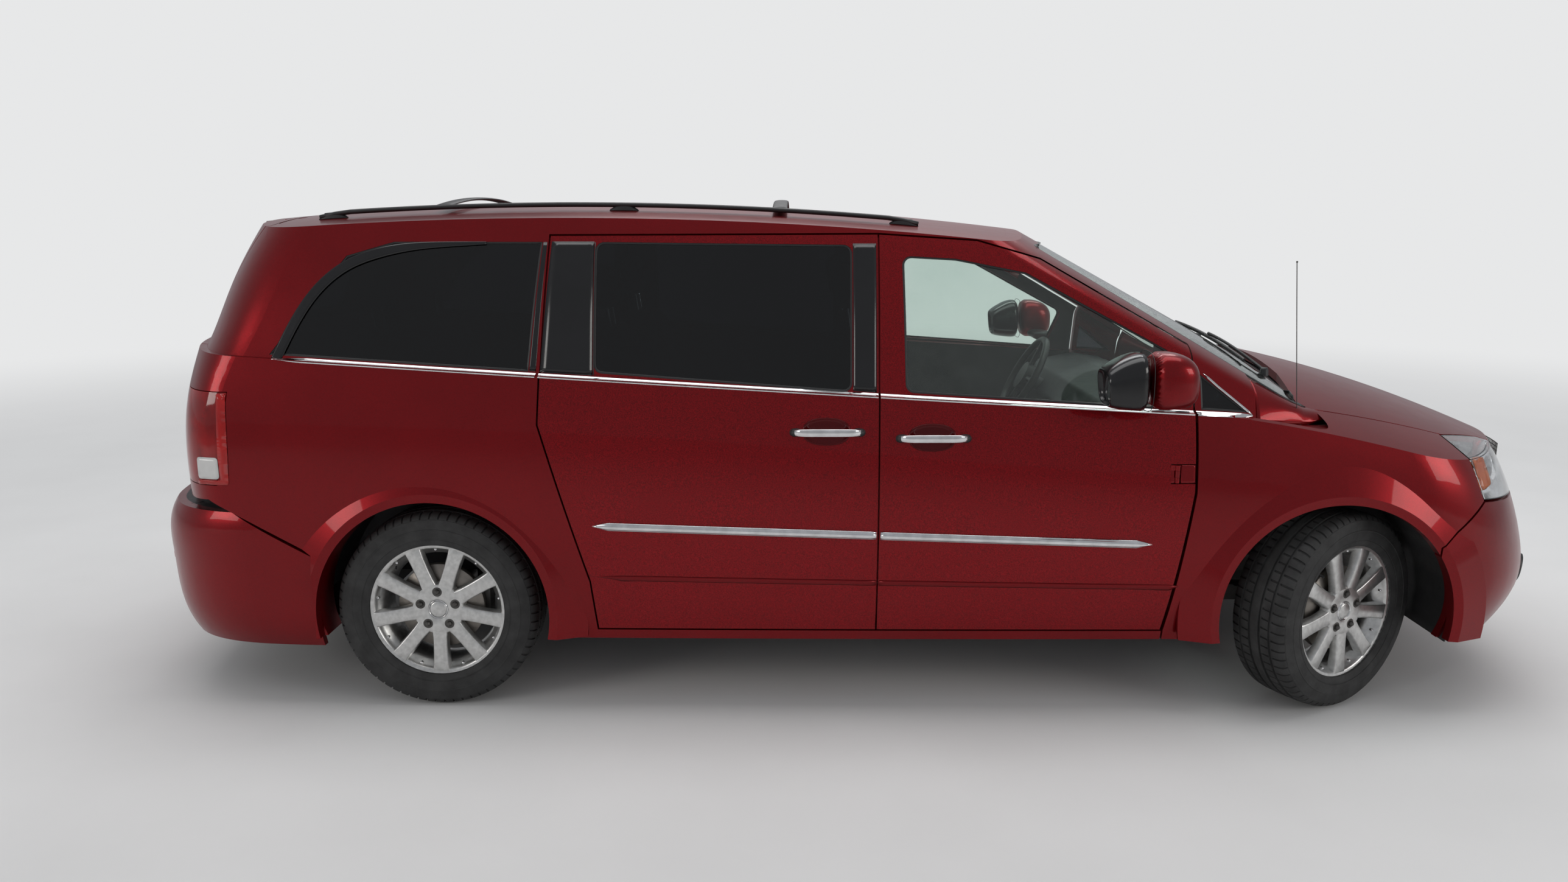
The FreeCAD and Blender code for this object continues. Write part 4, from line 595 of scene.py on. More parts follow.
def plate_on_skin(name, points, radius, side, lift, material, body, step, thickness):
    """A thin plate with rounded corners that follows the body side."""
    outline = rounded_outline(points, radius)
    corners = [tuple(spot) for spot in along(outline + outline[:1], step)][:-1]
    edges = [(i, (i + 1) % len(corners)) for i in range(len(corners))]
    (x0, z0), (x1, z1) = [[pick(values) for values in zip(*outline)] for pick in (min, max)]
    for i in range(1, int((x1 - x0) / step)):
        for j in range(1, int((z1 - z0) / step)):
            spot = (x0 + i * step, z0 + j * step)
            if inside(spot, outline):
                corners.append(spot)
    flat, _, faces = delaunay_2d_cdt([Vector(c) for c in corners], edges, [], 0, 1e-5)[:3]
    kept = [tuple(face) for face in faces
            if inside(sum((flat[i] for i in face), Vector((0, 0))) / 3, outline)]
    places = []
    for spot in flat:
        place, normal = side_hit(spot.x, spot.y, side)
        places.append(place + normal * lift)
    return thicken(make(name, places, kept, material, body), thickness)


def rim_loops(node, outward, keep=lambda place: True):
    """The outlines of a pane's outer face, as lists of (place, normal)."""
    work = bmesh.new()
    work.from_mesh(nodes[node].data)
    bmesh.ops.remove_doubles(work, verts=work.verts, dist=2e-5)
    work.normal_update()
    outward = Vector(outward).normalized()
    faces = [face for face in work.faces if face.normal.dot(outward) > 0.55]
    outer = set(faces)
    following = {}
    for face in faces:
        for loop in face.loops:
            if sum(other in outer for other in loop.edge.link_faces) == 1:
                following[loop.vert] = (loop.link_loop_next.vert, face.normal.copy())
    loops = []
    while following:
        here, ring = next(iter(following)), []
        while here in following:
            onward, normal = following.pop(here)
            ring.append((here.co.copy(), normal))
            here = onward
        if len(ring) > 5 and keep(ring[0][0]):
            loops.append(ring)
    work.free()
    return loops


def even_loop(ring, step):
    """The loop resampled evenly, with its normals."""
    out = []
    for (a, normal_a), (b, normal_b) in zip(ring, ring[1:] + ring[:1]):
        count = max(1, round((b - a).length / step))
        out += [(a.lerp(b, i / count), normal_a.lerp(normal_b, i / count).normalized()) for i in range(count)]
    return out


def middle_of(spots):
    return sum((place for place, normal in spots), Vector()) / len(spots)


def seal(name, ring, profile, material, body, step=0.02):
    """A strip round a loop; its section is (outwards from the pane's middle, off its face)."""
    spots = [ring[0]]
    for spot in even_loop(ring, step)[1:]:
        if (spot[0] - spots[-1][0]).length > 0.4 * step:
            spots.append(spot)
    middle = middle_of(spots)
    sections = []
    for i, (place, normal) in enumerate(spots):
        tangent = (spots[(i + 1) % len(spots)][0] - spots[i - 1][0]).normalized()
        across = tangent.cross(normal).normalized()
        if across.dot(place - middle) < 0:
            across = -across
        sections.append([place + across * u + normal * w for u, w in profile])
    return swept(name, sections, material, body, closed=True)


def tube(name, points, radius, material, body, steps=8, soft=True):
    """A round bar along a smooth line."""
    curve = bpy.data.curves.new(name, "CURVE")
    curve.dimensions = "3D"
    curve.bevel_depth = radius
    curve.bevel_resolution = steps // 4
    curve.use_fill_caps = True
    line = curve.splines.new("NURBS" if soft else "POLY")
    line.points.add(len(points) - 1)
    for spot, place in zip(line.points, points):
        spot.co = (*place, 1)
    if soft:
        line.order_u = min(4, len(points))
        line.use_endpoint_u = True
    curve.materials.append(material)
    piece = placed(name, curve)
    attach(piece, body)
    return piece


# Wheels and tyres
def wheel_places():
    """Each wheel's name, body and matrix: Y outwards along its axle, Z up, at the tyre's middle."""
    axes = {joint["name"]: joint["axis"] for joint in frame["joints"]}
    for end in ("front", "rear"):
        for name, side in SIDES.items():
            body = f"wheel_{end}_{name}"
            low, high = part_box(f"tyre_{end}_{name}")
            outward = Vector(axes[body + "_spin"]).normalized()
            if outward.y * side < 0:
                outward = -outward
            turned_by = Matrix((outward.cross(UP), outward, UP)).transposed().to_4x4()
            yield f"{end}_{name}", body, Matrix.Translation((low + high) / 2) @ turned_by


TYRE_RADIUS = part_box("tyre_rear_right")[1].z / 2
TREAD_BLOCKS = 66
TREAD_DEPTH = 0.007
GROOVE_DEPTH = 0.8 * TREAD_DEPTH
BLOCK_SKEW = 3.5          # shares of a block by which the tread leans, per metre across
BLOCK_SHARES = ((0.0, False), (0.78, False), (0.82, True), (0.96, True))   # and whether the groove is there
# Half of the tyre from the middle outwards: distance from the middle, below the tread, lateral groove
TREAD = [(0.0, 0.0, 0), (0.014, 0.0, 0), (0.0155, TREAD_DEPTH, 0), (0.0235, TREAD_DEPTH, 0),
         (0.025, 0.0002, 0), (0.027, 0.0002, 1), (0.051, 0.0010, 1), (0.053, 0.0010, 0),
         (0.0545, TREAD_DEPTH, 0), (0.0625, TREAD_DEPTH, 0), (0.064, 0.0018, 0), (0.066, 0.0020, 1),
         (0.084, 0.0045, 1), (0.094, 0.0090, 1), (0.1005, 0.0165, 1), (0.1035, 0.0220, 0)]
WALL = [(0.1040, 0.0235, 0), (0.1052, 0.0240, 0), (0.1090, 0.0400, 0), (0.1112, 0.0560, 0),
        (0.1124, 0.0570, 0), (0.1124, 0.0600, 0), (0.1114, 0.0612, 0), (0.1108, 0.0760, 0),
        (0.1085, 0.0900, 0), (0.1070, 0.0910, 0), (0.1068, 0.0940, 0), (0.1076, 0.0950, 0),
        (0.1040, 0.1070, 0), (0.1000, 0.1150, 0), (0.0960, 0.1165, 0), (0.0900, 0.1160, 0)]


def build_tyre(name, body, matrix):
    """A tyre with ribs, lateral grooves at the shoulders and rings on its walls."""
    half = TREAD + WALL
    profile = [(-out, drop, groove) for out, drop, groove in half[:0:-1]] + half
    corners = []
    for block in range(TREAD_BLOCKS):
        for share, grooved in BLOCK_SHARES:
            for out, drop, groove in profile:
                turn = 2 * math.pi * (block + share + BLOCK_SKEW * out) / TREAD_BLOCKS
                radius = TYRE_RADIUS - drop - (GROOVE_DEPTH if groove and grooved else 0)
                corners.append(matrix @ Vector((radius * math.sin(turn), out, radius * math.cos(turn))))
    faces = rings(TREAD_BLOCKS * len(BLOCK_SHARES), len(profile), False, True)
    piece = make("tyre_tread_" + name, corners, faces, tyre_rubber, body)
    crease(piece, 32)
    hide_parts("tyre_" + name)


# Profiles as (radius, distance from the tyre's middle)
FACE = 0.088              # the spokes' face from the tyre's middle
RIM = [(0.2335, 0.0985), (0.2345, 0.0965), (0.2335, 0.0940), (0.2250, 0.0925), (0.2215, 0.0900),
       (0.2185, 0.0830), (0.2120, 0.0700), (0.2000, 0.0600), (0.1930, 0.0400), (0.1900, 0.0000),
       (0.1960, -0.0500), (0.2080, -0.0750), (0.2240, -0.0850), (0.2335, -0.0950)]
HUB = [(0.0, FACE - 0.010), (0.030, FACE - 0.010), (0.0335, FACE - 0.006), (0.0350, FACE - 0.001),
       (0.0400, FACE + 0.0008), (0.0800, FACE + 0.0010), (0.0880, FACE - 0.0005), (0.0915, FACE - 0.006),
       (0.0935, FACE - 0.030), (0.0700, FACE - 0.040), (0.0, FACE - 0.040)]
HUB_CAP = [(0.0, FACE + 0.0035), (0.012, FACE + 0.0032), (0.024, FACE + 0.0022), (0.0290, FACE + 0.0002),
           (0.0300, FACE - 0.003), (0.0300, FACE - 0.010)]
HUB_RING = [(0.0300, FACE - 0.006), (0.0312, FACE + 0.0012), (0.0330, FACE + 0.0012), (0.0342, FACE - 0.006)]
WELL = [(0.0, FACE + 0.0014), (0.0125, FACE + 0.0014), (0.0165, FACE + 0.0016), (0.0172, FACE + 0.0008)]
NUT = [(0.0, FACE + 0.0135), (0.0050, FACE + 0.0130), (0.0086, FACE + 0.0095), (0.0100, FACE + 0.0070),
       (0.0104, FACE + 0.0014)]
STUD = [(0.0, 0.0805), (0.0030, 0.0800), (0.0046, 0.0775), (0.0050, 0.0700)]
DISC = [(0.070, 0.045), (0.150, 0.045), (0.1505, 0.044), (0.1505, 0.022), (0.070, 0.022)]
VALVE = [Vector((0, 0.074, 0.206)), Vector((0, 0.094, 0.199))]
SPOKES = 9
NUTS = 5
NUT_CIRCLE = 0.0635
STUD_CIRCLE = 0.2135
SPOKE_EDGE = 0.0045
# A spoke's stations: radius, half width, rise of its face, depth
SPOKE = ((0.060, 0.031, 0.0, 0.030), (0.085, 0.0255, 0.001, 0.030), (0.110, 0.0235, 0.0025, 0.028),
         (0.150, 0.0235, 0.0045, 0.026), (0.190, 0.0245, 0.006, 0.030), (0.214, 0.0265, 0.0065, 0.030),
         (0.2255, 0.0285, 0.0045, 0.022))


def spoke(matrix):
    """One flat spoke with bevelled edges, from the hub to the rim."""
    sections = []
    for radius, half, rise, depth in SPOKE:
        top = FACE + rise
        edge = [(half + 0.004, top - depth), (half + 0.001, top - SPOKE_EDGE), (half - 0.0015, top - 0.0012),
                (half - SPOKE_EDGE, top)]
        section = [(-u, w) for u, w in edge] + [(0, top - 0.0006)] + edge[::-1]
        sections.append([matrix @ Vector((u, w, radius)) for u, w in section])
    return capped(sections)


def round_axle(matrix, count, start=0.0, radius=0.0):
    """Equal places round the axle, turned with it."""
    up = Matrix.Translation((0, 0, radius))
    return [matrix @ Matrix.Rotation(2 * math.pi * (i + start) / count, 4, "Y") @ up for i in range(count)]


def build_rim(name, body, matrix):
    parts = [lathe(RIM, 96, matrix), lathe(HUB, 72, matrix)]
    parts += [spoke(place) for place in round_axle(matrix, SPOKES, 0.5)]
    rim = joined("rim_" + name, parts, alloy, body)
    crease(rim, 38)
    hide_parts("wheel_" + name)
    turned("hub_cap_" + name, HUB_CAP, matrix, alloy, body, 48)
    turned("hub_ring_" + name, HUB_RING, matrix, chrome, body, 48)
    places = round_axle(matrix, NUTS, radius=NUT_CIRCLE)
    wells, nuts = [lathe(WELL, 24, place) for place in places], [lathe(NUT, 6, place) for place in places]
    joined("nut_wells_" + name, wells, dark_steel, body)
    nut_piece = joined("wheel_nuts_" + name, nuts, dark_steel, body, False)
    rounded_edges(nut_piece, 0.001, 2)
    studs = [lathe(STUD, 16, place) for place in round_axle(matrix, SPOKES, radius=STUD_CIRCLE)]
    joined("rim_studs_" + name, studs, chrome, body)
    turned("brake_disc_" + name, DISC, matrix, exhaust_steel, body, 72)
    at_valve = matrix @ Matrix.Rotation(2 * math.pi * 0.12, 4, "Y")
    tube("valve_" + name, [at_valve @ spot for spot in VALVE], 0.0038, black_plastic, body, 12, False)


for wheel_name, wheel_body, wheel_matrix in wheel_places():
    build_tyre(wheel_name, wheel_body, wheel_matrix)
    build_rim(wheel_name, wheel_body, wheel_matrix)


# Trim on the body sides: (x, z) in the side view
B_PILLAR = 0.065
DOOR_FRONT = 1.1195
SLIDER_SHUT = -1.0705
SHUT_HALF = 0.005         # trims end this far from a shut line's middle


def belt_corner(x, lift):
    """A place over the belt line."""
    return (x, 1.112 - 0.058 * x + lift)


BELT_SECTION = [(-0.0068, -0.001), (-0.0062, 0.0026), (-0.003, 0.0042), (0.003, 0.0042), (0.0062, 0.0026),
                (0.0068, -0.001)]
# name: from x, to x, body, the lengths over which its two ends thin out
BELT_STRIPS = {
    "quarter": (-1.955, SLIDER_SHUT - SHUT_HALF, "body", (0.10, 0)),
    "slider": (SLIDER_SHUT + SHUT_HALF, B_PILLAR - 0.004, "body", (0, 0)),
    "door": (B_PILLAR + 0.004, DOOR_FRONT - SHUT_HALF, "door_front", (0, 0)),
    "vent": (DOOR_FRONT + SHUT_HALF, 1.318, "body", (0, 0.03)),
}
VENT_RIM = [(1.318, 1.036), (1.262, 1.082), (1.205, 1.128), (1.155, 1.172)]
VENT_SECTION = [(-0.004, -0.001), (-0.003, 0.003), (0.003, 0.003), (0.004, -0.001)]
MOULDING_SECTION = [(-0.0140, -0.0004), (-0.0138, 0.0050), (-0.0118, 0.0066), (-0.0100, 0.0070),
                    (-0.0088, 0.0108), (-0.0040, 0.0128), (0.0040, 0.0128), (0.0088, 0.0108),
                    (0.0100, 0.0070), (0.0118, 0.0066), (0.0138, 0.0050), (0.0140, -0.0004)]
MOULDING_DOOR = [(B_PILLAR + 0.007, 0.641), (0.950, 0.612), (0.983, 0.611)]
MOULDING_SLIDER = [(-0.894, 0.670), (-0.860, 0.669), (B_PILLAR - 0.007, 0.642)]
# The pressed line low on the doors
CREASE_SECTION = [(-0.016, -0.0004), (-0.010, 0.0012), (-0.002, 0.0040), (0.001, 0.0044), (0.004, 0.0030),
                  (0.006, -0.0004)]
CREASES = {"slider": (-0.886, B_PILLAR - SHUT_HALF, "body", (0.10, 0)),
           "door": (B_PILLAR + SHUT_HALF, 1.085, "door_front", (0, 0.03))}


def door_body(body, name):
    return f"door_front_{name}" if body == "door_front" else body


def build_belt(name, side):
    for part, (start, end, body, sharp) in BELT_STRIPS.items():
        points = [belt_corner(x, -0.001) for x in (start, end)]
        piece = strip(f"belt_{part}_{name}", points, side, BELT_SECTION, chrome, door_body(body, name), sharp)
        crease(piece, 50)
    strip("vent_rim_" + name, VENT_RIM, side, VENT_SECTION, chrome, "body", (0.02, 0.02))


def build_moulding(name, side):
    door = strip("moulding_door_" + name, MOULDING_DOOR, side, MOULDING_SECTION, chrome, "door_front_" + name,
                 (0, 0.06))
    slider = strip("moulding_slider_" + name, MOULDING_SLIDER, side, MOULDING_SECTION, chrome, "body",
                   (0.06, 0))
    return door, slider


# A handle's cup, as (share of its size, lift): a raised lip that falls away inwards
CUP = ((1.0, -0.0004), (0.98, 0.0020), (0.955, 0.0034), (0.925, 0.0032), (0.87, 0.0012), (0.70, 0.0006),
       (0.40, 0.0004), (0.12, 0.0004))
CUP_HALF = (0.080, 0.046)
FOOT = ((1.15, 0.0), (1.1, 0.003), (0.9, 0.006), (0.8, 0.018))
FOOT_HALF = (0.019, 0.0125)
FOOT_OUT = 0.104          # the feet from the grip's middle
GRIP_HALF = 0.118


def build_handle(label, x, z, name, side, body):
    """A bowed grip with rounded edges on two feet, over a cup in the panel. The cup is coloured with darkened
    paint, a painted shade of its recess.
    """
    def near(middle_x, middle_z, half):
        return lambda u, v: side_hit(middle_x + half[0] * u, middle_z + half[1] * v, side)

    cup = raised(CUP, superellipse(40, 2.4), near(x - 0.004, z + 0.003, CUP_HALF))
    # The cup's dish is coloured with the darkened paint: painted shade inside the recess
    swept(f"handle_cup_{label}_{name}", cup, painted_shade, body)
    sections = []
    for i in range(25):
        t = -1 + i / 12
        place, normal = side_hit(x + GRIP_HALF * t, z, side)
        slim = (1 - abs(t) ** 6) ** 0.5
        middle = place + normal * (0.006 + 0.025 * (1 - abs(t) ** 5))
        up, out = UP * (0.0135 * (0.35 + 0.65 * slim)), normal * (0.0065 * (0.3 + 0.7 * slim))
        sections.append([middle + up * v + out * u for u, v in superellipse(14, 8 / 3)])
    grip = swept(f"handle_{label}_{name}", sections, chrome, body)
    parts = []
    for end in (-1, 1):
        rows = raised(FOOT, superellipse(20, 2.4), near(x + end * FOOT_OUT, z, FOOT_HALF))
        parts.append((flattened(rows), rings(4, 20) + [tuple(range(60, 80))]))
    joined(f"handle_feet_{label}_{name}", parts, black_plastic, body)
    return grip


def build_crease(name, side):
    for part, (start, end, body, sharp) in CREASES.items():
        points = [(x, 0.489 - (x + 0.886) * 0.01455) for x in (start, end)]
        strip(f"crease_{part}_{name}", points, side, CREASE_SECTION, paint, door_body(body, name), sharp,
              0.03)


for side_name, side_sign in SIDES.items():
    build_belt(side_name, side_sign)
    door_piece, slider_piece = build_moulding(side_name, side_sign)
    door_grip = build_handle("door", 0.244, 0.969, side_name, side_sign, "door_front_" + side_name)
    slider_grip = build_handle("slider", -0.107, 0.989, side_name, side_sign, "body")
    build_crease(side_name, side_sign)
    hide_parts("door_trim_" + side_name)
    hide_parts("door_trim_" + side_name)
    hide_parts("slider_trim")
    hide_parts("slider_trim")


# Dark pillar plates, each by its corners, and window seals
PILLAR_PLATES = {
    "front": (belt_corner(-0.0215, 0.009), belt_corner(0.056, 0.009), (0.056, 1.600), (-0.0215, 1.600)),
    "rear": (belt_corner(-1.061, 0.009), belt_corner(-0.8865, 0.009), (-0.8865, 1.607), (-1.029, 1.607)),
    "quarter": (belt_corner(-1.097, 0.011), belt_corner(-1.0755, 0.011), (-1.0445, 1.605), (-1.058, 1.605)),
}
PLATE_LIFT = 0.0010
GLASS_EDGE = [belt_corner(-0.8835, 0.010), (-0.8835, 1.604)]
GLASS_EDGE_SECTION = [(-0.0016, -0.0005), (-0.0012, 0.0024), (0.0012, 0.0024), (0.0016, -0.0005)]
SEAL_SECTION = [(-0.007, 0.0003), (-0.005, 0.0016), (0.003, 0.0022), (0.0052, 0.0012), (0.0052, -0.004),
                (-0.004, -0.0004)]
WINDSCREEN_SEAL = [(across - 0.010, min(lift, 0.0007)) for across, lift in SEAL_SECTION]
# A pane, the way its outer face looks, and its body
PANES = (("door_glass_right", (0, -1, 0), "door_front_right"),
         ("door_glass_left", (0, 1, 0), "door_front_left"),
         ("slider_glass", (0, -1, 0), "body"), ("slider_glass", (0, 1, 0), "body"),
         ("fixed_glass", (0, -1, 0), "body"), ("fixed_glass", (0, 1, 0), "body"),
         ("windscreen", (0.6, 0, 0.8), "body"), ("tailgate_glass", (-1, 0, 0.3), "tailgate"))


def build_plates(name, side):
    for label, corners in PILLAR_PLATES.items():
        low_left, low_right, high_right, high_left = (Vector(corner) for corner in corners)
        rows = []
        for k in range(25):
            start, end = low_left.lerp(high_left, k / 24), low_right.lerp(high_right, k / 24)
            spots = [start.lerp(end, i / 6) for i in range(7)]
            outermost = max(side * side_hit(spot.x, spot.y, side)[0].y for spot in spots)
            rows.append([Vector((spot.x, side * (outermost + PLATE_LIFT), spot.y)) for spot in spots])
        grid_piece(f"pillar_plate_{label}_{name}", smoothed(rows, 8), gloss_black, "body", 0.0010)
    strip("glass_edge_" + name, GLASS_EDGE, side, GLASS_EDGE_SECTION, black_plastic, "body")


def build_seals():
    for node, outward, body in PANES:
        section = WINDSCREEN_SEAL if node == "windscreen" else SEAL_SECTION
        side = "r" if outward[1] < 0 else "l"
        for i, ring in enumerate(rim_loops(node, outward)):
            seal(f"seal_{node}_{side}{i}", ring, section, black_plastic, body)


for side_name, side_sign in SIDES.items():
    build_plates(side_name, side_sign)
build_seals()


# Door mirrors, in place of the plain ones
MIRROR_DEPTH = 0.298
MIRROR_HALF = 0.0925
# From front to back: share of the depth, share of the half width, half height, height of the middle
MIRROR_CAP = [(0.000, 0.30, 0.030, 1.172), (0.025, 0.56, 0.052, 1.173), (0.080, 0.78, 0.072, 1.176),
              (0.170, 0.92, 0.085, 1.180), (0.300, 0.985, 0.0920, 1.182), (0.540, 1.0, 0.0945, 1.181)]
MIRROR_SHELL = [(0.544, 1.0, 0.0940, 1.181), (0.660, 0.990, 0.0915, 1.179), (0.770, 0.965, 0.0855, 1.175),
                (0.870, 0.920, 0.0760, 1.169), (0.945, 0.865, 0.0660, 1.163), (0.985, 0.810, 0.0580, 1.159),
                (0.988, 0.780, 0.0540, 1.159), (0.900, 0.780, 0.0540, 1.161)]
MIRROR_SEAM = (0.542, 1.002, 0.0948, 1.181)
# The pane's rings: share of its size, bulge
MIRROR_PANE = ((0.0, 0.0), (0.5, 0.0004), (0.85, 0.0014), (0.97, 0.0024), (1.0, 0.0040))
# The arm's sections: x, distance from the mirror's outer end, z, half width, half height
MIRROR_ARM = ((0.972, 0.167, 1.118, 0.050, 0.020), (0.990, 0.197, 1.112, 0.052, 0.019),
              (1.002, 0.232, 1.108, 0.055, 0.020), (1.008, 0.272, 1.108, 0.062, 0.026))
SAIL = [(1.113, 1.062), (1.113, 1.172), (1.090, 1.205), (1.040, 1.170), (0.985, 1.090), (0.985, 1.067)]


def build_mirror(name, side):
    """A painted cap over a black rear half, the pane in its frame, and an arm on a foot."""
    low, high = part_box("mirror_" + name)
    front = high.x - 0.012
    outer = high.y if side > 0 else low.y
    centre_y = outer - side * 0.0935
    body = "door_front_" + name

    def section(share, wide, tall, middle):
        lean = share * (0.105 * tall - 0.012)
        return [Vector((front - MIRROR_DEPTH * share + lean * v, centre_y - side * MIRROR_HALF * wide * u,
                        middle + tall * v)) for u, v in superellipse(36, 3.2)]

    cap = swept("mirror_cap_" + name, [section(*row) for row in MIRROR_CAP], paint, body)
    shell = swept("mirror_shell_" + name, [section(*row) for row in MIRROR_SHELL], gloss_black, body)
    soften(cap)
    soften(shell)
    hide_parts("mirror_" + name)
    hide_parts("mirror_" + name)
    pane_x = front - MIRROR_DEPTH * 0.930
    wide, tall = MIRROR_HALF * 0.775, 0.0535
    corners = [Vector((pane_x + bulge, centre_y + wide * u * share, 1.160 + tall * v * share))
               for share, bulge in MIRROR_PANE for u, v in superellipse(40, 3.0)]
    pane = make("mirror_pane_" + name, corners, rings(5, 40), mirror_glass, body)
    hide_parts("mirror_glass_" + name)
    seam = section(*MIRROR_SEAM)
    tube("mirror_seam_" + name, seam + seam[:1], 0.0011, black_plastic, body, soft=False)
    arm = [[Vector((x + a * u, outer - side * reach, z + b * v)) for u, v in superellipse(24, 2.6)]
           for x, reach, z, a, b in MIRROR_ARM]
    soften(swept("mirror_arm_" + name, arm, black_plastic, body))
    plate_on_skin("sail_plate_" + name, SAIL, 0.02, side, 0.0035, black_plastic, body, 0.02, 0.003)


for side_name, side_sign in SIDES.items():
    build_mirror(side_name, side_sign)


# Seats: cushions and backs as padded pieces, in place of the plain ones
PAD_LIMIT = 0.012         # no part of a pad moves further than this as it is blown up
SEAM_DEPTH = 0.006
SEAM_HALF = 0.012
SIM_FRAMES = 15
# The headrest's ring in height and width: its middle line, and half of its thickness
HEADREST_RING = ((0.058, 0.027), (0.090, 0.038))
HEADREST_DEPTH = 0.040


def pad_mesh(name, size, crown, power=3.4):
    """A closed crowned pad round the origin, as corners and faces of a rounded box."""
    work = bmesh.new()
    bmesh.ops.create_cube(work, size=2.0)
    bmesh.ops.subdivide_edges(work, edges=work.edges, cuts=7, use_grid_fill=True)
    for corner in work.verts:
        length = sum(abs(part) ** power for part in corner.co) ** (1 / power)
        x, y, z = (part / length for part in corner.co)
        swell = 1 + crown / size[2] * (1 - x * x) * (1 - y * y)
        corner.co = (x * size[0], y * size[1], z * size[2] * swell)
    mesh = bpy.data.meshes.new(name)
    work.to_mesh(mesh)
    work.free()
    mesh.shade_smooth()
    mesh.materials.append(seat_cloth)
    return mesh


def evaluated_mesh(piece):
    graph = bpy.context.evaluated_depsgraph_get()
    return bpy.data.meshes.new_from_object(piece.evaluated_get(graph))


def simulated(mesh, pressure=4.0, voxel=0.012):
    """The pad blown up a little by a cloth simulation, with its result in the mesh."""
    piece = placed("pad_work", mesh)
    bpy.context.view_layer.objects.active = piece
    remesh = piece.modifiers.new("remesh", "REMESH")
    remesh.mode = "VOXEL"
    remesh.voxel_size = voxel
    even = evaluated_mesh(piece)
    piece.modifiers.remove(remesh)
    piece.data = even
    before = [corner.co.copy() for corner in even.vertices]
    cloth = piece.modifiers.new("cloth", "CLOTH").settings
    cloth.use_pressure = True
    cloth.uniform_pressure_force = pressure
    cloth.effector_weights.gravity = 0
    cloth.quality = 5
    scene = bpy.context.scene
    for number in range(SIM_FRAMES):
        scene.frame_set(number + 1)
    blown = evaluated_mesh(piece)
    scene.frame_set(1)
    for corner, start in zip(blown.vertices, before):
        step = corner.co - start
        if step.length > PAD_LIMIT:
            corner.co = start + step.normalized() * PAD_LIMIT
    bpy.data.objects.remove(piece)
    blown.shade_smooth()
    return blown


def channelled(mesh, lines):
    """Sewn channels pressed into a pad: lines are (axis, place) pairs on its crowned face."""
    for corner in mesh.vertices:
        if corner.co.z < 0:
            continue
        for axis, place in lines:
            gap = abs(corner.co[axis] - place)
            if gap < SEAM_HALF:
                corner.co.z -= SEAM_DEPTH * (1 - gap / SEAM_HALF) ** 2
    mesh.update()


def pad(name, mesh, matrix):
    piece = placed(name, mesh)
    piece.matrix_world = matrix
    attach(piece, "body")
    return soften(piece)


def leaned(place, lean):
    """A frame whose Z, the crowned face, looks forward and leans back."""
    return Matrix.Translation(place) @ Matrix.Rotation(math.radians(90 - lean), 4, "Y")


def seat_pads(width):
    """The meshes of one seat's cushion and back, with their channels."""
    cushion = pad_mesh("cushion", (0.262, width / 2, 0.062), 0.014)
    back = pad_mesh("back", (0.300, width / 2 - 0.012, 0.060), 0.012)
    cushion = simulated(cushion)
    back = simulated(back)
    side = width / 2 - 0.085
    channelled(cushion, [(1, -side), (1, side), (0, 0.02)])
    channelled(back, [(1, -side), (1, side), (0, 0.09), (0, -0.10)])
    return cushion, back


def headrest(name, place, lean):
    """A padded ring with a slot through it, on two bright posts."""
    matrix = leaned(place, lean)
    sections = []
    for k in range(12):
        turn = 2 * math.pi * k / 12
        tall, wide = (middle + half * math.cos(turn) for middle, half in HEADREST_RING)
        deep = HEADREST_DEPTH * math.sin(turn)
        sections.append([matrix @ Vector((u * tall, v * wide, deep)) for u, v in superellipse(32, 3.0)])
    piece = swept(name, sections, seat_cloth, "body", closed=True)
    soften(piece)
    for label, y in (("r", -0.055), ("l", 0.055)):
        ends = [matrix @ Vector((reach, y, 0)) for reach in (0.07, 0.15)]
        tube(f"{name}_post_{label}", ends, 0.0065, chrome, "body", 12, False)
    return piece


def seat_base(name, x, y, width, low, high=0.665):
    """A moulded surround under the cushion on two floor rails."""
    levels = ((low + 0.03, 0.86), (low + 0.05, 0.90), (high - 0.05, 0.97), (high, 1.0), (high + 0.012, 0.98))
    rows = []
    for z, share in levels:
        deep, wide = 0.245 * share, (width / 2 - 0.02) * share
        rows.append([Vector((x + 0.01 + deep * u, y + wide * v, z)) for u, v in superellipse(28, 4.0)])
    soften(swept(name, rows, black_plastic, "body"))
    for label, side in (("r", -1), ("l", 1)):
        start = Vector((x - 0.26, y + side * (width / 2 - 0.09), low + 0.014))
        ends = [start, start + Vector((0.52, 0, 0))]
        tube(f"{name}_rail_{label}", ends, 0.014, dark_steel, "body", 12, False)


def build_seat(name, x, y, width, low, meshes, node, heads=(0.0,)):
    cushion, back = meshes
    tilt = Matrix.Rotation(math.radians(-4), 4, "Y")
    pieces = [pad(name + "_cushion", cushion, Matrix.Translation((x + 0.012, y, 0.728)) @ tilt),
              pad(name + "_back", back, leaned((x - 0.246, y, 1.005), 14))]
    for i, offset in enumerate(heads):
        pieces.append(headrest(f"{name}_headrest{i}", (x - 0.366, y + offset, 1.432), 9))
    for piece in pieces:
        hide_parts(node)
    seat_base(name + "_base", x, y, width, low)


def build_seats():
    floor_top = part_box("front_seats")[0].z
    single = seat_pads(0.545)
    for name, side in SIDES.items():
        build_seat("seat_front_" + name, 0.330, side * 0.380, 0.545, floor_top, single, "front_seats")
        build_seat("seat_middle_" + name, -0.560, side * 0.380, 0.520, floor_top, single, "middle_seats")
    bench = seat_pads(1.18)
    build_seat("seat_rear", -1.440, 0, 1.18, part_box("rear_seat")[0].z, bench, "rear_seat", (-0.38, 0.38))


build_seats()


# Roof rack, antenna, wipers
RAIL_Y = 0.560
RAIL_HALF = (0.0145, 0.0085)
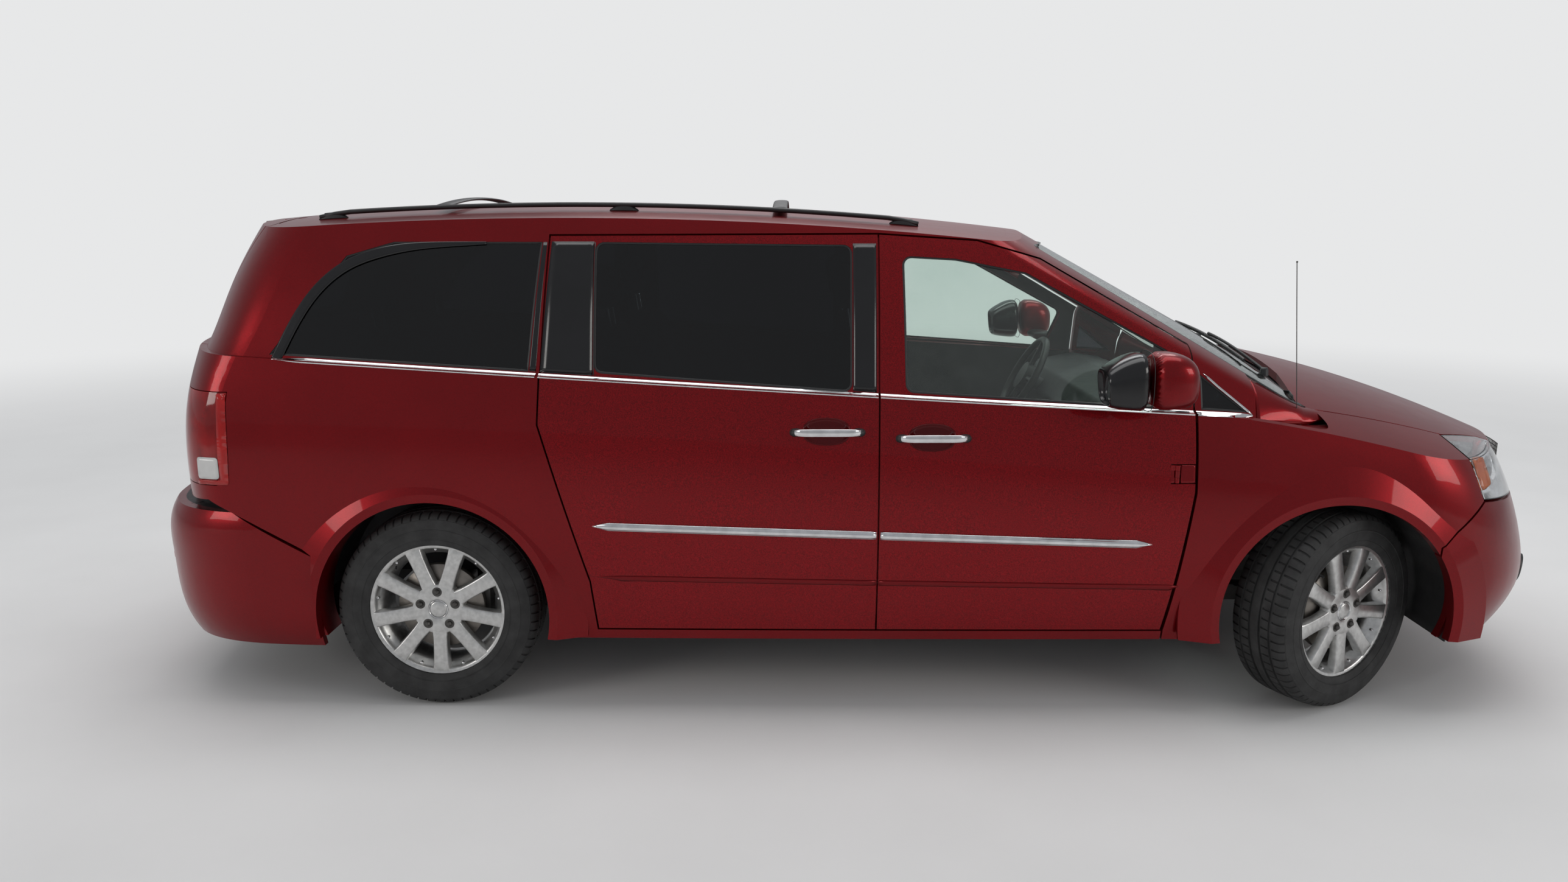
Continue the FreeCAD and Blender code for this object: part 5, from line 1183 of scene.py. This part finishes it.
# The rail's feet, from the skin up: lift, half length, half width
RACK_FOOT = ((0.0004, 0.052, 0.0165), (0.004, 0.050, 0.0160), (0.012, 0.036, 0.0145), (0.021, 0.030, 0.0125))
BAR_REACH = 0.552         # the cross bars' ends from the middle
BAR_HALF = (0.027, 0.0058)
ANTENNA_FOOT = [(0.0, 0.026), (0.004, 0.026), (0.006, 0.022), (0.010, 0.012), (0.017, 0.005), (0.020, 0.0)]
WIPER_CAP = [(0.0, 0.030), (0.010, 0.029), (0.014, 0.022), (0.016, 0.0)]
UPRIGHT = Matrix.Rotation(math.radians(90), 4, "X")   # turns a profile's axis up
# The wipers' root and the two ends of the blade, as (x, y)
WIPERS = {"right": ((1.480, -0.560), (1.405, -0.560), (1.345, 0.030)),
          "left": ((1.462, 0.100), (1.425, 0.100), (1.360, 0.690))}


def ribbon(name, route, half, power, material, body):
    """A bar of constant rounded section along 3-D points."""
    sections = []
    for i, here in enumerate(route):
        tangent = (route[min(i + 1, len(route) - 1)] - route[max(i - 1, 0)]).normalized()
        across = tangent.cross(UP).normalized()
        lift = across.cross(tangent).normalized()
        sections.append([here + across * (half[0] * u) + lift * (half[1] * v)
                         for u, v in superellipse(16, power)])
    return swept(name, sections, material, body)


def build_rack():
    low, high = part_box("roof_rack")
    front, back = high.x - 0.006, low.x + 0.006
    length = front - back
    pieces = []
    for name, side in SIDES.items():
        y = side * RAIL_Y
        route = []
        for i in range(41):
            t = i / 40
            drop = 0.012 * max(0.0, 1 - min(t, 1 - t) * length / 0.11) ** 1.6
            route.append(over(back + length * t, y, 0.0195 - drop))
        pieces.append(ribbon("rack_rail_" + name, route, RAIL_HALF, 2.6, black_plastic, "body"))
        for i, x in enumerate((back + 0.045, (front + back) / 2 + 0.02, front - 0.05)):
            rows = [[over(x + a * u, y + b * v, lift) for u, v in superellipse(24, 3.0)]
                    for lift, a, b in RACK_FOOT]
            pieces.append(swept(f"rack_foot_{name}{i}", rows, black_plastic, "body"))
    for i, x in enumerate((-1.470, -0.270)):
        shares = [-1 + k / 12 for k in range(25)]
        route = [over(x, BAR_REACH * share, 0.0215 + 0.004 * (1 - share ** 2)) for share in shares]
        pieces.append(ribbon(f"rack_bar{i}", route, BAR_HALF, 2.2, black_plastic, "body"))
    for piece in pieces:
        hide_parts("roof_rack")


def build_antenna():
    """A thin mast on a rounded foot on the right fender."""
    place = roof_at(1.500, -0.815)[0]
    turned("antenna_foot", ANTENNA_FOOT, Matrix.Translation(place) @ UPRIGHT, black_plastic, "body", 32)
    tip = place + Vector((-0.045, 0, 0.545))
    tube("antenna_mast", [place + UP * 0.02, place.lerp(tip, 0.5), tip], 0.0016, dark_steel, "body")
    tube("antenna_tip", [tip, tip + UP * 0.006], 0.003, dark_steel, "body", soft=False)


def build_wipers():
    """Two arms with their blades, parked low on the windscreen."""
    for name, ends in WIPERS.items():
        root, a, b = (Vector(end) for end in ends)
        line = [over(*a.lerp(b, k / 10), 0.016) for k in range(11)]
        tube("wiper_blade_" + name, line, 0.0055, black_plastic, "body")
        tube("wiper_edge_" + name, [spot - UP * 0.008 for spot in line], 0.0025, black_plastic, "body")
        middle = a.lerp(b, 0.5)
        arm = [over(*root.lerp(middle, share), lift)
               for share, lift in ((0.0, 0.018), (0.35, 0.028), (0.7, 0.034), (1.0, 0.026))]
        tube("wiper_arm_" + name, arm, 0.006, black_plastic, "body")
        matrix = Matrix.Translation(over(*root, 0.0)) @ UPRIGHT
        turned("wiper_cap_" + name, WIPER_CAP, matrix, black_plastic, "body", 24)


build_rack()
build_antenna()
build_wipers()


# Head lamps, tail lamps, grille and the small pieces of both ends
amber = lens_material("amber", (0.90, 0.22, 0.015), (0.75, 0.14, 0.008), 0.08, 0.35)
reflector = metal_material("reflector", (0.80, 0.80, 0.80), 0.08, 0.05)
lens_white = lens_material("lens_white", (0.88, 0.88, 0.86), (0.78, 0.78, 0.77), 0.12, 0.3)
lens_bright_red = lens_material("lens_bright_red", (0.56, 0.012, 0.010), (0.44, 0.008, 0.007), 0.06, 0.3)
plate_paint = metal_material("plate_paint", (0.72, 0.72, 0.70), 0.4, 0.1, metallic=0.1)

# The bucket behind a head lamp's lens: share of the lens, depth
BUCKET = ((0.994, 0.0095), (0.985, 0.020), (0.93, 0.052), (0.88, 0.058), (0.5, 0.060), (0.1, 0.060))
# Its two bowls: y, z, radius, distance behind the lens
BOWLS = ((0.600, 0.790, 0.050, 0.0286), (0.715, 0.808, 0.044, 0.0275))
BOWL_DEPTH = 0.040
BOWL_RIM = 0.006
BULB = [(0.0, 0.030), (0.006, 0.029), (0.010, 0.024), (0.011, -0.002)]
AMBER_CORNER = [(2.098, 0.885), (2.168, 0.880), (2.186, 0.790), (2.122, 0.775)]
TAIL_EDGE = [(-2.120, 0.803), (-2.232, 0.803), (-2.232, 0.818), (-2.146, 0.818), (-2.150, 0.900),
             (-2.144, 1.110), (-2.113, 1.110), (-2.116, 0.900)]
TAIL_FIELD = [(-2.150, 0.822), (-2.228, 0.822), (-2.228, 0.896), (-2.152, 0.896)]
# Screens: half width, from z, to z, distance behind the skin
SCREENS = {"upper": (0.435, 0.695, 0.850, 0.045), "lower": (0.455, 0.325, 0.408, 0.050)}
SCREEN_STEP = 0.014
SCREEN_WIRE = 0.0012      # half of a wire's width
FOG_RING = [(0.036, 0.0), (0.038, 0.007), (0.044, 0.0085), (0.050, 0.006), (0.053, -0.002)]
FOG_LENS = [(0.0, 0.0065), (0.015, 0.0062), (0.028, 0.005), (0.036, 0.0025), (0.0365, -0.001)]
PLATE_SIZE = (0.305, 0.152)
# The number plate's rings: shares of its width and height, lift
PLATE_RINGS = ((1, 1, -0.003), (1, 1, 0.0012), (0.985, 0.97, 0.0022), (0.955, 0.91, 0.0022),
               (0.945, 0.89, 0.0010), (0.2, 0.2, 0.0010))
PLATE_SCREW = [(0.0, 0.0022), (0.003, 0.0020), (0.0045, 0.0004), (0.0045, -0.001)]
REFLECTOR = ((1.0, 0.0), (1.0, 0.003), (0.9, 0.0045), (0.3, 0.005))
STOP_LAMP = ((1.0, -0.001), (1.0, 0.003), (0.92, 0.005), (0.3, 0.0055))


def facing(place, direction):
    """A frame at a place whose Y looks along a direction."""
    return Matrix.Translation(place) @ Vector(direction).to_track_quat("Y", "Z").to_matrix().to_4x4()


def bowl(name, place, direction, radius):
    """A lamp's reflector bowl with a rim and a bulb, opening along a direction."""
    outer = radius + BOWL_RIM
    profile = [(0.010, -BOWL_DEPTH), (radius * 0.55, -BOWL_DEPTH * 0.82), (radius * 0.85, -BOWL_DEPTH * 0.42),
               (radius, 0.0), (radius + BOWL_RIM * 0.5, 0.0015), (outer, -0.002), (outer, -0.012)]
    matrix = facing(place, direction)
    turned(name, profile, matrix, reflector, "body", 48)
    turned(name + "_bulb", [(r, z - BOWL_DEPTH) for r, z in BULB], matrix, lens_white, "body", 24)


def build_head_lamps():
    """A bright bucket behind each lens, with two bowls and an amber corner."""
    for name, side in SIDES.items():
        out = Vector((0.84, 0.54 * side, 0.08)).normalized()
        ring = max(rim_loops("headlamp_lenses", out, lambda place: place.y * side > 0), key=len)
        spots = even_loop(ring, 0.012)
        middle = middle_of(spots)
        rows = [[middle + (place - middle) * share - out * depth for place, normal in spots]
                for share, depth in BUCKET]
        bucket = swept("head_bucket_" + name, rows, lamp_housing, "body", caps=False)
        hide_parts("headlamp_housings")
        for i, (y, z, radius, back) in enumerate(BOWLS):
            place = front_hit(side * y, z)[0] - out * back
            bowl(f"head_bowl_{name}{i}", place, (0.96, 0.26 * side, 0.02), radius)
        plate_on_skin("head_amber_" + name, AMBER_CORNER, 0.012, side, -0.012, amber, "body", 0.014, 0.006)


def build_tail_lamps():
    """The pale reversing field and the bright front edge of each tail lamp."""
    for name, side in SIDES.items():
        for label, points, radius, lens in (("edge", TAIL_EDGE, 0.006, lens_bright_red),
                                            ("reverse", TAIL_FIELD, 0.012, lens_white)):
            plate_on_skin(f"tail_{label}_{name}", points, radius, side, 0.0014, lens, "body", 0.012, 0.0012)


def build_screen(label, half, low, high, back):
    """A dark mesh that follows the front behind an opening."""
    def at(y, z):
        return Vector((front_hit(y, low - 0.02)[0].x - back, y, z))

    parts = []
    for k in range(int(2 * half / SCREEN_STEP) + 1):
        y = -half + k * SCREEN_STEP
        a, b = at(y, low), at(y, high)
        wide = Vector((0, SCREEN_WIRE, 0))
        parts.append(([a - wide, a + wide, b + wide, b - wide], [(0, 1, 2, 3)]))
    for k in range(int((high - low) / SCREEN_STEP) + 1):
        line = [at(-half + 2 * half * i / 24, low + k * SCREEN_STEP) for i in range(25)]
        corners = [spot + Vector((0.001, 0, lift)) for lift in (-SCREEN_WIRE, SCREEN_WIRE) for spot in line]
        parts.append((corners, rings(2, 25, False)))
    thicken(joined("screen_" + label, parts, dark_steel, "body", False), 0.002, -1)


def build_plate(name, middle, outward, body):
    """A blank number plate with a raised border and two screws."""
    out = Vector(outward).normalized()
    across = UP.cross(out).normalized()
    up = out.cross(across)
    width, height = PLATE_SIZE
    rows = []
    for wide, tall, lift in PLATE_RINGS:
        rows.append([middle + across * (width / 2 * wide * u) + up * (height / 2 * tall * v) + out * lift
                     for u, v in superellipse(40, 9.0)])
    swept(name, rows, plate_paint, body)
    top = middle + up * (height / 2 - 0.014) + out * 0.0015
    screws = [facing(top + across * (side * 0.09), out) for side in (-1, 1)]
    joined(name + "_screws", [lathe(PLATE_SCREW, 16, matrix) for matrix in screws], chrome, body)


def build_front():
    """The fog lamps."""
    for name, side in SIDES.items():
        spot, normal = front_hit(side * 0.640, 0.430)
        matrix = facing(spot - normal * 0.004, normal)
        turned("fog_ring_" + name, FOG_RING, matrix, black_plastic, "body", 48)
        turned("fog_lens_" + name, FOG_LENS, matrix, lens_white, "body", 48)


def build_rear():
    """The number plate, the bar of the gate's handle, the reflectors and the high stop lamp."""
    place, normal = rear_hit(0, 0.826)
    build_plate("rear_plate", place + normal * 0.0042, normal, "tailgate")
    sections = []
    for i in range(17):
        spot, out = rear_hit(-0.36 + 0.72 * i / 16, 1.075)
        share = 0.35 + 0.65 * min(1.0, min(i, 16 - i) / 1.6)
        sections.append([spot + out * 0.010 + Vector((0.010 * u, 0, 0.019 * v)) * share
                         for u, v in superellipse(20, 3.0)])
    swept("gate_handle_bar", sections, chrome, "tailgate")
    for name, side in SIDES.items():
        rows = raised(REFLECTOR, superellipse(28, 4.0),
                      lambda u, v: rear_hit(side * 0.64 + 0.055 * u, 0.480 + 0.017 * v))
        swept("rear_reflector_" + name, rows, lens_bright_red, "body")
    rows = raised(STOP_LAMP, superellipse(36, 6.0), lambda u, v: rear_hit(0.165 * u, 1.620 + 0.008 * v))
    swept("stop_lamp", rows, lens_bright_red, "tailgate")


build_head_lamps()
build_tail_lamps()
for screen_label, screen_sizes in SCREENS.items():
    build_screen(screen_label, *screen_sizes)
build_front()
build_rear()


# Closing panels: beside the cowl, over the door's upper hinge, over the rear bumper, and in the front arches
def edge_from(x, side, start, stop, low):
    """The last place hit from above while going across the skin."""
    last = None
    for k in range(91):
        place = top_hit(x, side * (start + (stop - start) * k / 90))[0]
        if place is not None and place.z > low:
            last = place
        elif last is not None:
            break
    return last


def build_shoulder(name, side):
    """The panel between the fender's top edge and the windscreen's corner."""
    ends = []
    for k in range(19):
        x = 1.338 + 0.278 * k / 18
        ends.append([edge_from(x, side, 0.945, 0.80, 0.96), edge_from(x, side, 0.700, 0.83, 1.00)])
    rows = []
    for k, (outer, inner) in enumerate(smoothed(ends, 8)):
        swell = 0.014 * min(1.0, (18 - k) / 7)
        crown = Vector((0, side * swell, swell))
        rows.append([outer.lerp(inner, i / 8) + crown * math.sin(math.pi * i / 8) - UP * 0.002
                     for i in range(9)])
    grid_piece("cowl_shoulder_" + name, rows, paint, "body", 0.0015)


# Over the door's hinge pocket, ahead of the pin on the body and behind it on the door: from x, to x, body
HINGE_COVERS = {"front": (1.0675, 1.1160, "body"), "rear": (1.0335, 1.0460, "door_front")}
# Heights where the skin is whole below and above the pocket, and the lowest x at which each ends
BELOW_POCKET = (0.800, 1.113)
OVER_POCKET = (0.912, 1.108)
COVER_LOW = 0.820
COVER_TALL = 0.060


def build_hinge_cover(name, side):
    """Plates flush with the door's skin, between its heights below and above the pocket."""
    for label, (start, end, body) in HINGE_COVERS.items():
        rows = []
        for k in range(8):
            x = start + (end - start) * k / 7
            low, high = (side_hit(min(x, last), z, side)[0] for z, last in (BELOW_POCKET, OVER_POCKET))
            slope = (high.y - low.y) / (high.z - low.z)
            heights = [COVER_LOW + COVER_TALL * i / 8 for i in range(9)]
            rows.append([Vector((x, low.y + slope * (z - low.z), z)) for z in heights])
        grid_piece(f"hinge_cover_{label}_{name}", rows, paint, door_body(body, name), 0.001)


STEP_Z = 0.688            # height at which the bumper's rim is found
RIM_SIDE_X = (-2.12, -2.16, -2.20, -2.24, -2.28, -2.32)
RIM_END_Y = (0.83, 0.80, 0.76, 0.70, 0.62, 0.52, 0.40, 0.26, 0.13)
# The step's section: inwards from the rim, height
STEP_SECTION = ((0.004, 0.690), (0.012, 0.6985), (0.030, 0.6990), (0.090, 0.6990), (0.150, 0.6985),
                (0.170, 0.690))
RIB_REACHES = (0.040, 0.052, 0.064, 0.076)
RIB_Z = 0.7000
WALL_REACH = 0.075
WALL_HEIGHTS = (0.680, 0.720, 0.760, 0.800)


def bumper_rim(side):
    """Half of the bumper's rim from the arch to the middle, as (place on the ground, way inwards)."""
    rim = []
    for x in RIM_SIDE_X:
        rim.append((flank_hit(x, STEP_Z, side)[0], Vector((0.25, -side, 0))))
    for y in RIM_END_Y:
        lean = max(0.0, (y - 0.55) / 0.35)
        rim.append((rear_hit(side * y, STEP_Z)[0], Vector((1, -side * lean, 0))))
    return [(Vector((place.x, place.y, 0)), inward.normalized()) for place, inward in rim]


def build_bumper_top():
    """The rear bumper's step: a ribbed pad along its top, and a black wall under the tail lamps. The wall
    closes the slot there, and its black paints the shadow line at the bumper's top.
    """
    halves = {name: bumper_rim(side) for name, side in SIDES.items()}
    middle = rear_hit(0, STEP_Z)[0]
    rim = halves["right"] + [(Vector((middle.x, middle.y, 0)), Vector((1, 0, 0)))] + halves["left"][::-1]
    rows = [[base + inward * reach + UP * z for reach, z in STEP_SECTION] for base, inward in rim]
    grid_piece("bumper_step", rows, black_plastic, "body", 0.002)
    for i, reach in enumerate(RIB_REACHES):
        line = [base + UP * RIB_Z + inward * reach for base, inward in rim[10:-10]]
        tube(f"bumper_rib{i}", line, 0.0018, black_plastic, "body")
    for name, half in halves.items():
        # A black wall in the slot under each tail lamp: it closes the slot, and its black is a painted shadow
        # of the shut line
        rows = [[base + inward * WALL_REACH + UP * z for z in WALL_HEIGHTS] for base, inward in half[:9]]
        grid_piece("lamp_shadow_wall_" + name, rows, black_plastic, "body", 0.002)


ARCH_MIDDLE = (1.6245, 0.350)
ARCH_RADIUS = 0.414
LINER_WIDTHS = (0.925, 0.905, 0.85, 0.78, 0.70, 0.62)


def build_liner(name, side):
    """The front arch's liner: a rippled sheet between the bumper and the wheelhouse."""
    x0, z0 = ARCH_MIDDLE
    rows = []
    for k in range(19):
        turn = math.radians(-14 + 74 * k / 18)
        radius = ARCH_RADIUS + 0.002 * math.sin(k * 1.9)
        x, z = x0 + radius * math.cos(turn), z0 + radius * math.sin(turn)
        rows.append([Vector((x, side * y, z)) for y in LINER_WIDTHS])
    grid_piece("arch_liner_" + name, rows, black_plastic, "body", 0.003)


QUARTER_CURVE = [(-1.966, 1.2262), (-1.940, 1.282), (-1.905, 1.350), (-1.858, 1.425), (-1.800, 1.492),
                 (-1.725, 1.547), (-1.630, 1.584), (-1.520, 1.602), (-1.400, 1.6065), (-1.250, 1.6065)]
FRAME_STEPS = 72
FRAME_WIDE = 0.034
# The paint round the window is sampled this far outside the curve, nearer and further
PAINT_NEAR = 0.014
PAINT_FAR = 0.034


def curve_through(points, count):
    """Places spaced along a smooth curve through the points, with the direction there."""
    out = []
    last = len(points) - 1
    for k in range(count + 1):
        at = last * k / count
        i = min(int(at), last - 1)
        t = at - i
        a, b, c, d = (Vector(points[max(0, min(last, j))]) for j in (i - 1, i, i + 1, i + 2))
        line, bend, twist = c - a, 2 * a - 5 * b + 4 * c - d, 3 * b - a - 3 * c + d
        spot = 0.5 * (2 * b + line * t + bend * t ** 2 + twist * t ** 3)
        out.append((spot, (line + 2 * bend * t + 3 * twist * t ** 2).normalized()))
    return out


def build_quarter_frame(name, side):
    """A black band that rounds the quarter window's rear edge. It runs on from the paint round the window."""
    rows = []
    for k, (spot, way) in enumerate(curve_through(QUARTER_CURVE, FRAME_STEPS)):
        inward = Vector((way.y, -way.x))
        wide = FRAME_WIDE * min(1.0, 0.25 + (FRAME_STEPS - k) / 30)
        samples = [spot - inward * reach for reach in (PAINT_NEAR, PAINT_FAR)]
        near, far = (side_hit(sample.x, sample.y, side)[0].y for sample in samples)
        slope = (near - far) / (PAINT_FAR - PAINT_NEAR)
        row = []
        for reach in (wide * share for share in (0.0, 0.12, 0.4, 0.7, 1.0)):
            here = spot + inward * reach
            row.append(Vector((here.x, near + slope * (PAINT_NEAR + reach) + side * 0.0006, here.y)))
        rows.append(row)
    grid_piece("quarter_frame_" + name, smoothed(rows, 12), gloss_black, "body", 0.0008)


for side_name, side_sign in SIDES.items():
    build_quarter_frame(side_name, side_sign)
    build_shoulder(side_name, side_sign)
    build_hinge_cover(side_name, side_sign)
    build_liner(side_name, side_sign)
build_bumper_top()


# Stage: a pale floor, soft lamps and the photograph's camera
BACKDROP = (0.80, 0.805, 0.81)
SKY = (0.86, 0.88, 0.92)
CAMERA_PLACE = (-0.212, -4.687, 1.709)
CAMERA_YAW = -0.60       # degrees to the van's front
CAMERA_PITCH = 11.38     # degrees down
FOCAL_SHARE = 1882 / 2576   # focal length over the image's width
SENSOR = 36


def seen_directly(tree):
    """1 where the camera looks, also through glass."""
    path = add(tree, "ShaderNodeLightPath")
    return maths(tree, "MAXIMUM", path.outputs["Is Camera Ray"], path.outputs["Is Transmission Ray"])


def mixed(tree, share, first, second, output):
    """Two shaders mixed into the tree's output."""
    mix = add(tree, "ShaderNodeMixShader")
    wire(tree, (share, mix.inputs["Fac"]), (first, mix.inputs[1]), (second, mix.inputs[2]),
         (mix.outputs["Shader"], tree.nodes[output].inputs["Surface"]))


def floor():
    """A pale floor that carries the shadow near the van and runs into the backdrop's colour further out."""
    bpy.ops.mesh.primitive_plane_add(size=160)
    plane = bpy.context.object
    plane.name = "floor"
    material, tree, shader = new_material("floor")
    pale = ramp(tree, noise(tree, 1.5), (0.72, 0.72, 0.715), (0.745, 0.745, 0.74))
    wire(tree, (pale, shader.inputs["Base Color"]))
    settings(shader, Roughness=0.8)
    glow = add(tree, "ShaderNodeEmission", Strength=1.0, Color=(*BACKDROP, 1))
    reach = add(tree, "ShaderNodeVectorMath", operation="LENGTH")
    far = add(tree, "ShaderNodeMapRange", interpolation_type="SMOOTHSTEP", From_Min=3.5, From_Max=13.0)
    wire(tree, (place_source(tree), reach.inputs[0]), (reach.outputs["Value"], far.inputs["Value"]))
    share = maths(tree, "MULTIPLY", seen_directly(tree), far.outputs["Result"])
    mixed(tree, share, shader.outputs["BSDF"], glow.outputs["Emission"], "Material Output")
    plane.data.materials.append(material)


def lamp(name, place, target, size, power, colour=(1, 1, 1)):
    light = bpy.data.lights.new(name, "AREA")
    light.shape = "RECTANGLE"
    light.size, light.size_y = size
    light.energy = power
    light.color = colour
    holder = placed(name, light)
    holder.location = place
    holder.rotation_euler = (Vector(target) - Vector(place)).to_track_quat("-Z", "Y").to_euler()


def world():
    """A soft sky, with the backdrop's colour where the camera sees it."""
    sky = bpy.data.worlds.new("studio")
    bpy.context.scene.world = sky
    sky.use_nodes = True
    tree = sky.node_tree
    background = tree.nodes["Background"]
    settings(background, Color=(*SKY, 1), Strength=0.45)
    pale = add(tree, "ShaderNodeBackground", Color=(*BACKDROP, 1), Strength=1.0)
    shaders = [node.outputs["Background"] for node in (background, pale)]
    mixed(tree, seen_directly(tree), *shaders, "World Output")


def camera():
    lens = bpy.data.cameras.new("camera")
    lens.sensor_width = SENSOR
    lens.lens = SENSOR * FOCAL_SHARE
    lens.clip_end = 200
    holder = placed("camera", lens)
    holder.location = CAMERA_PLACE
    holder.rotation_euler = (math.radians(90 - CAMERA_PITCH), 0, math.radians(-CAMERA_YAW))
    bpy.context.scene.camera = holder


WARM = (1.0, 0.97, 0.93)

floor()
world()
lamp("lamp_over", (0, 0, 7.5), (0, 0, 0.8), (10, 4), 300)
lamp("lamp_rear_right", (-9.5, -6.5, 3.5), (-0.5, 0, 0.8), (4, 3), 190, WARM)
lamp("lamp_front_right", (9.5, -5.5, 3.5), (0.5, 0, 0.8), (4, 3), 190, WARM)
lamp("lamp_left", (1.0, 7.0, 7.5), (0, 0, 0.8), (8, 3), 230)
camera()
bpy.context.scene.view_settings.view_transform = "Standard"
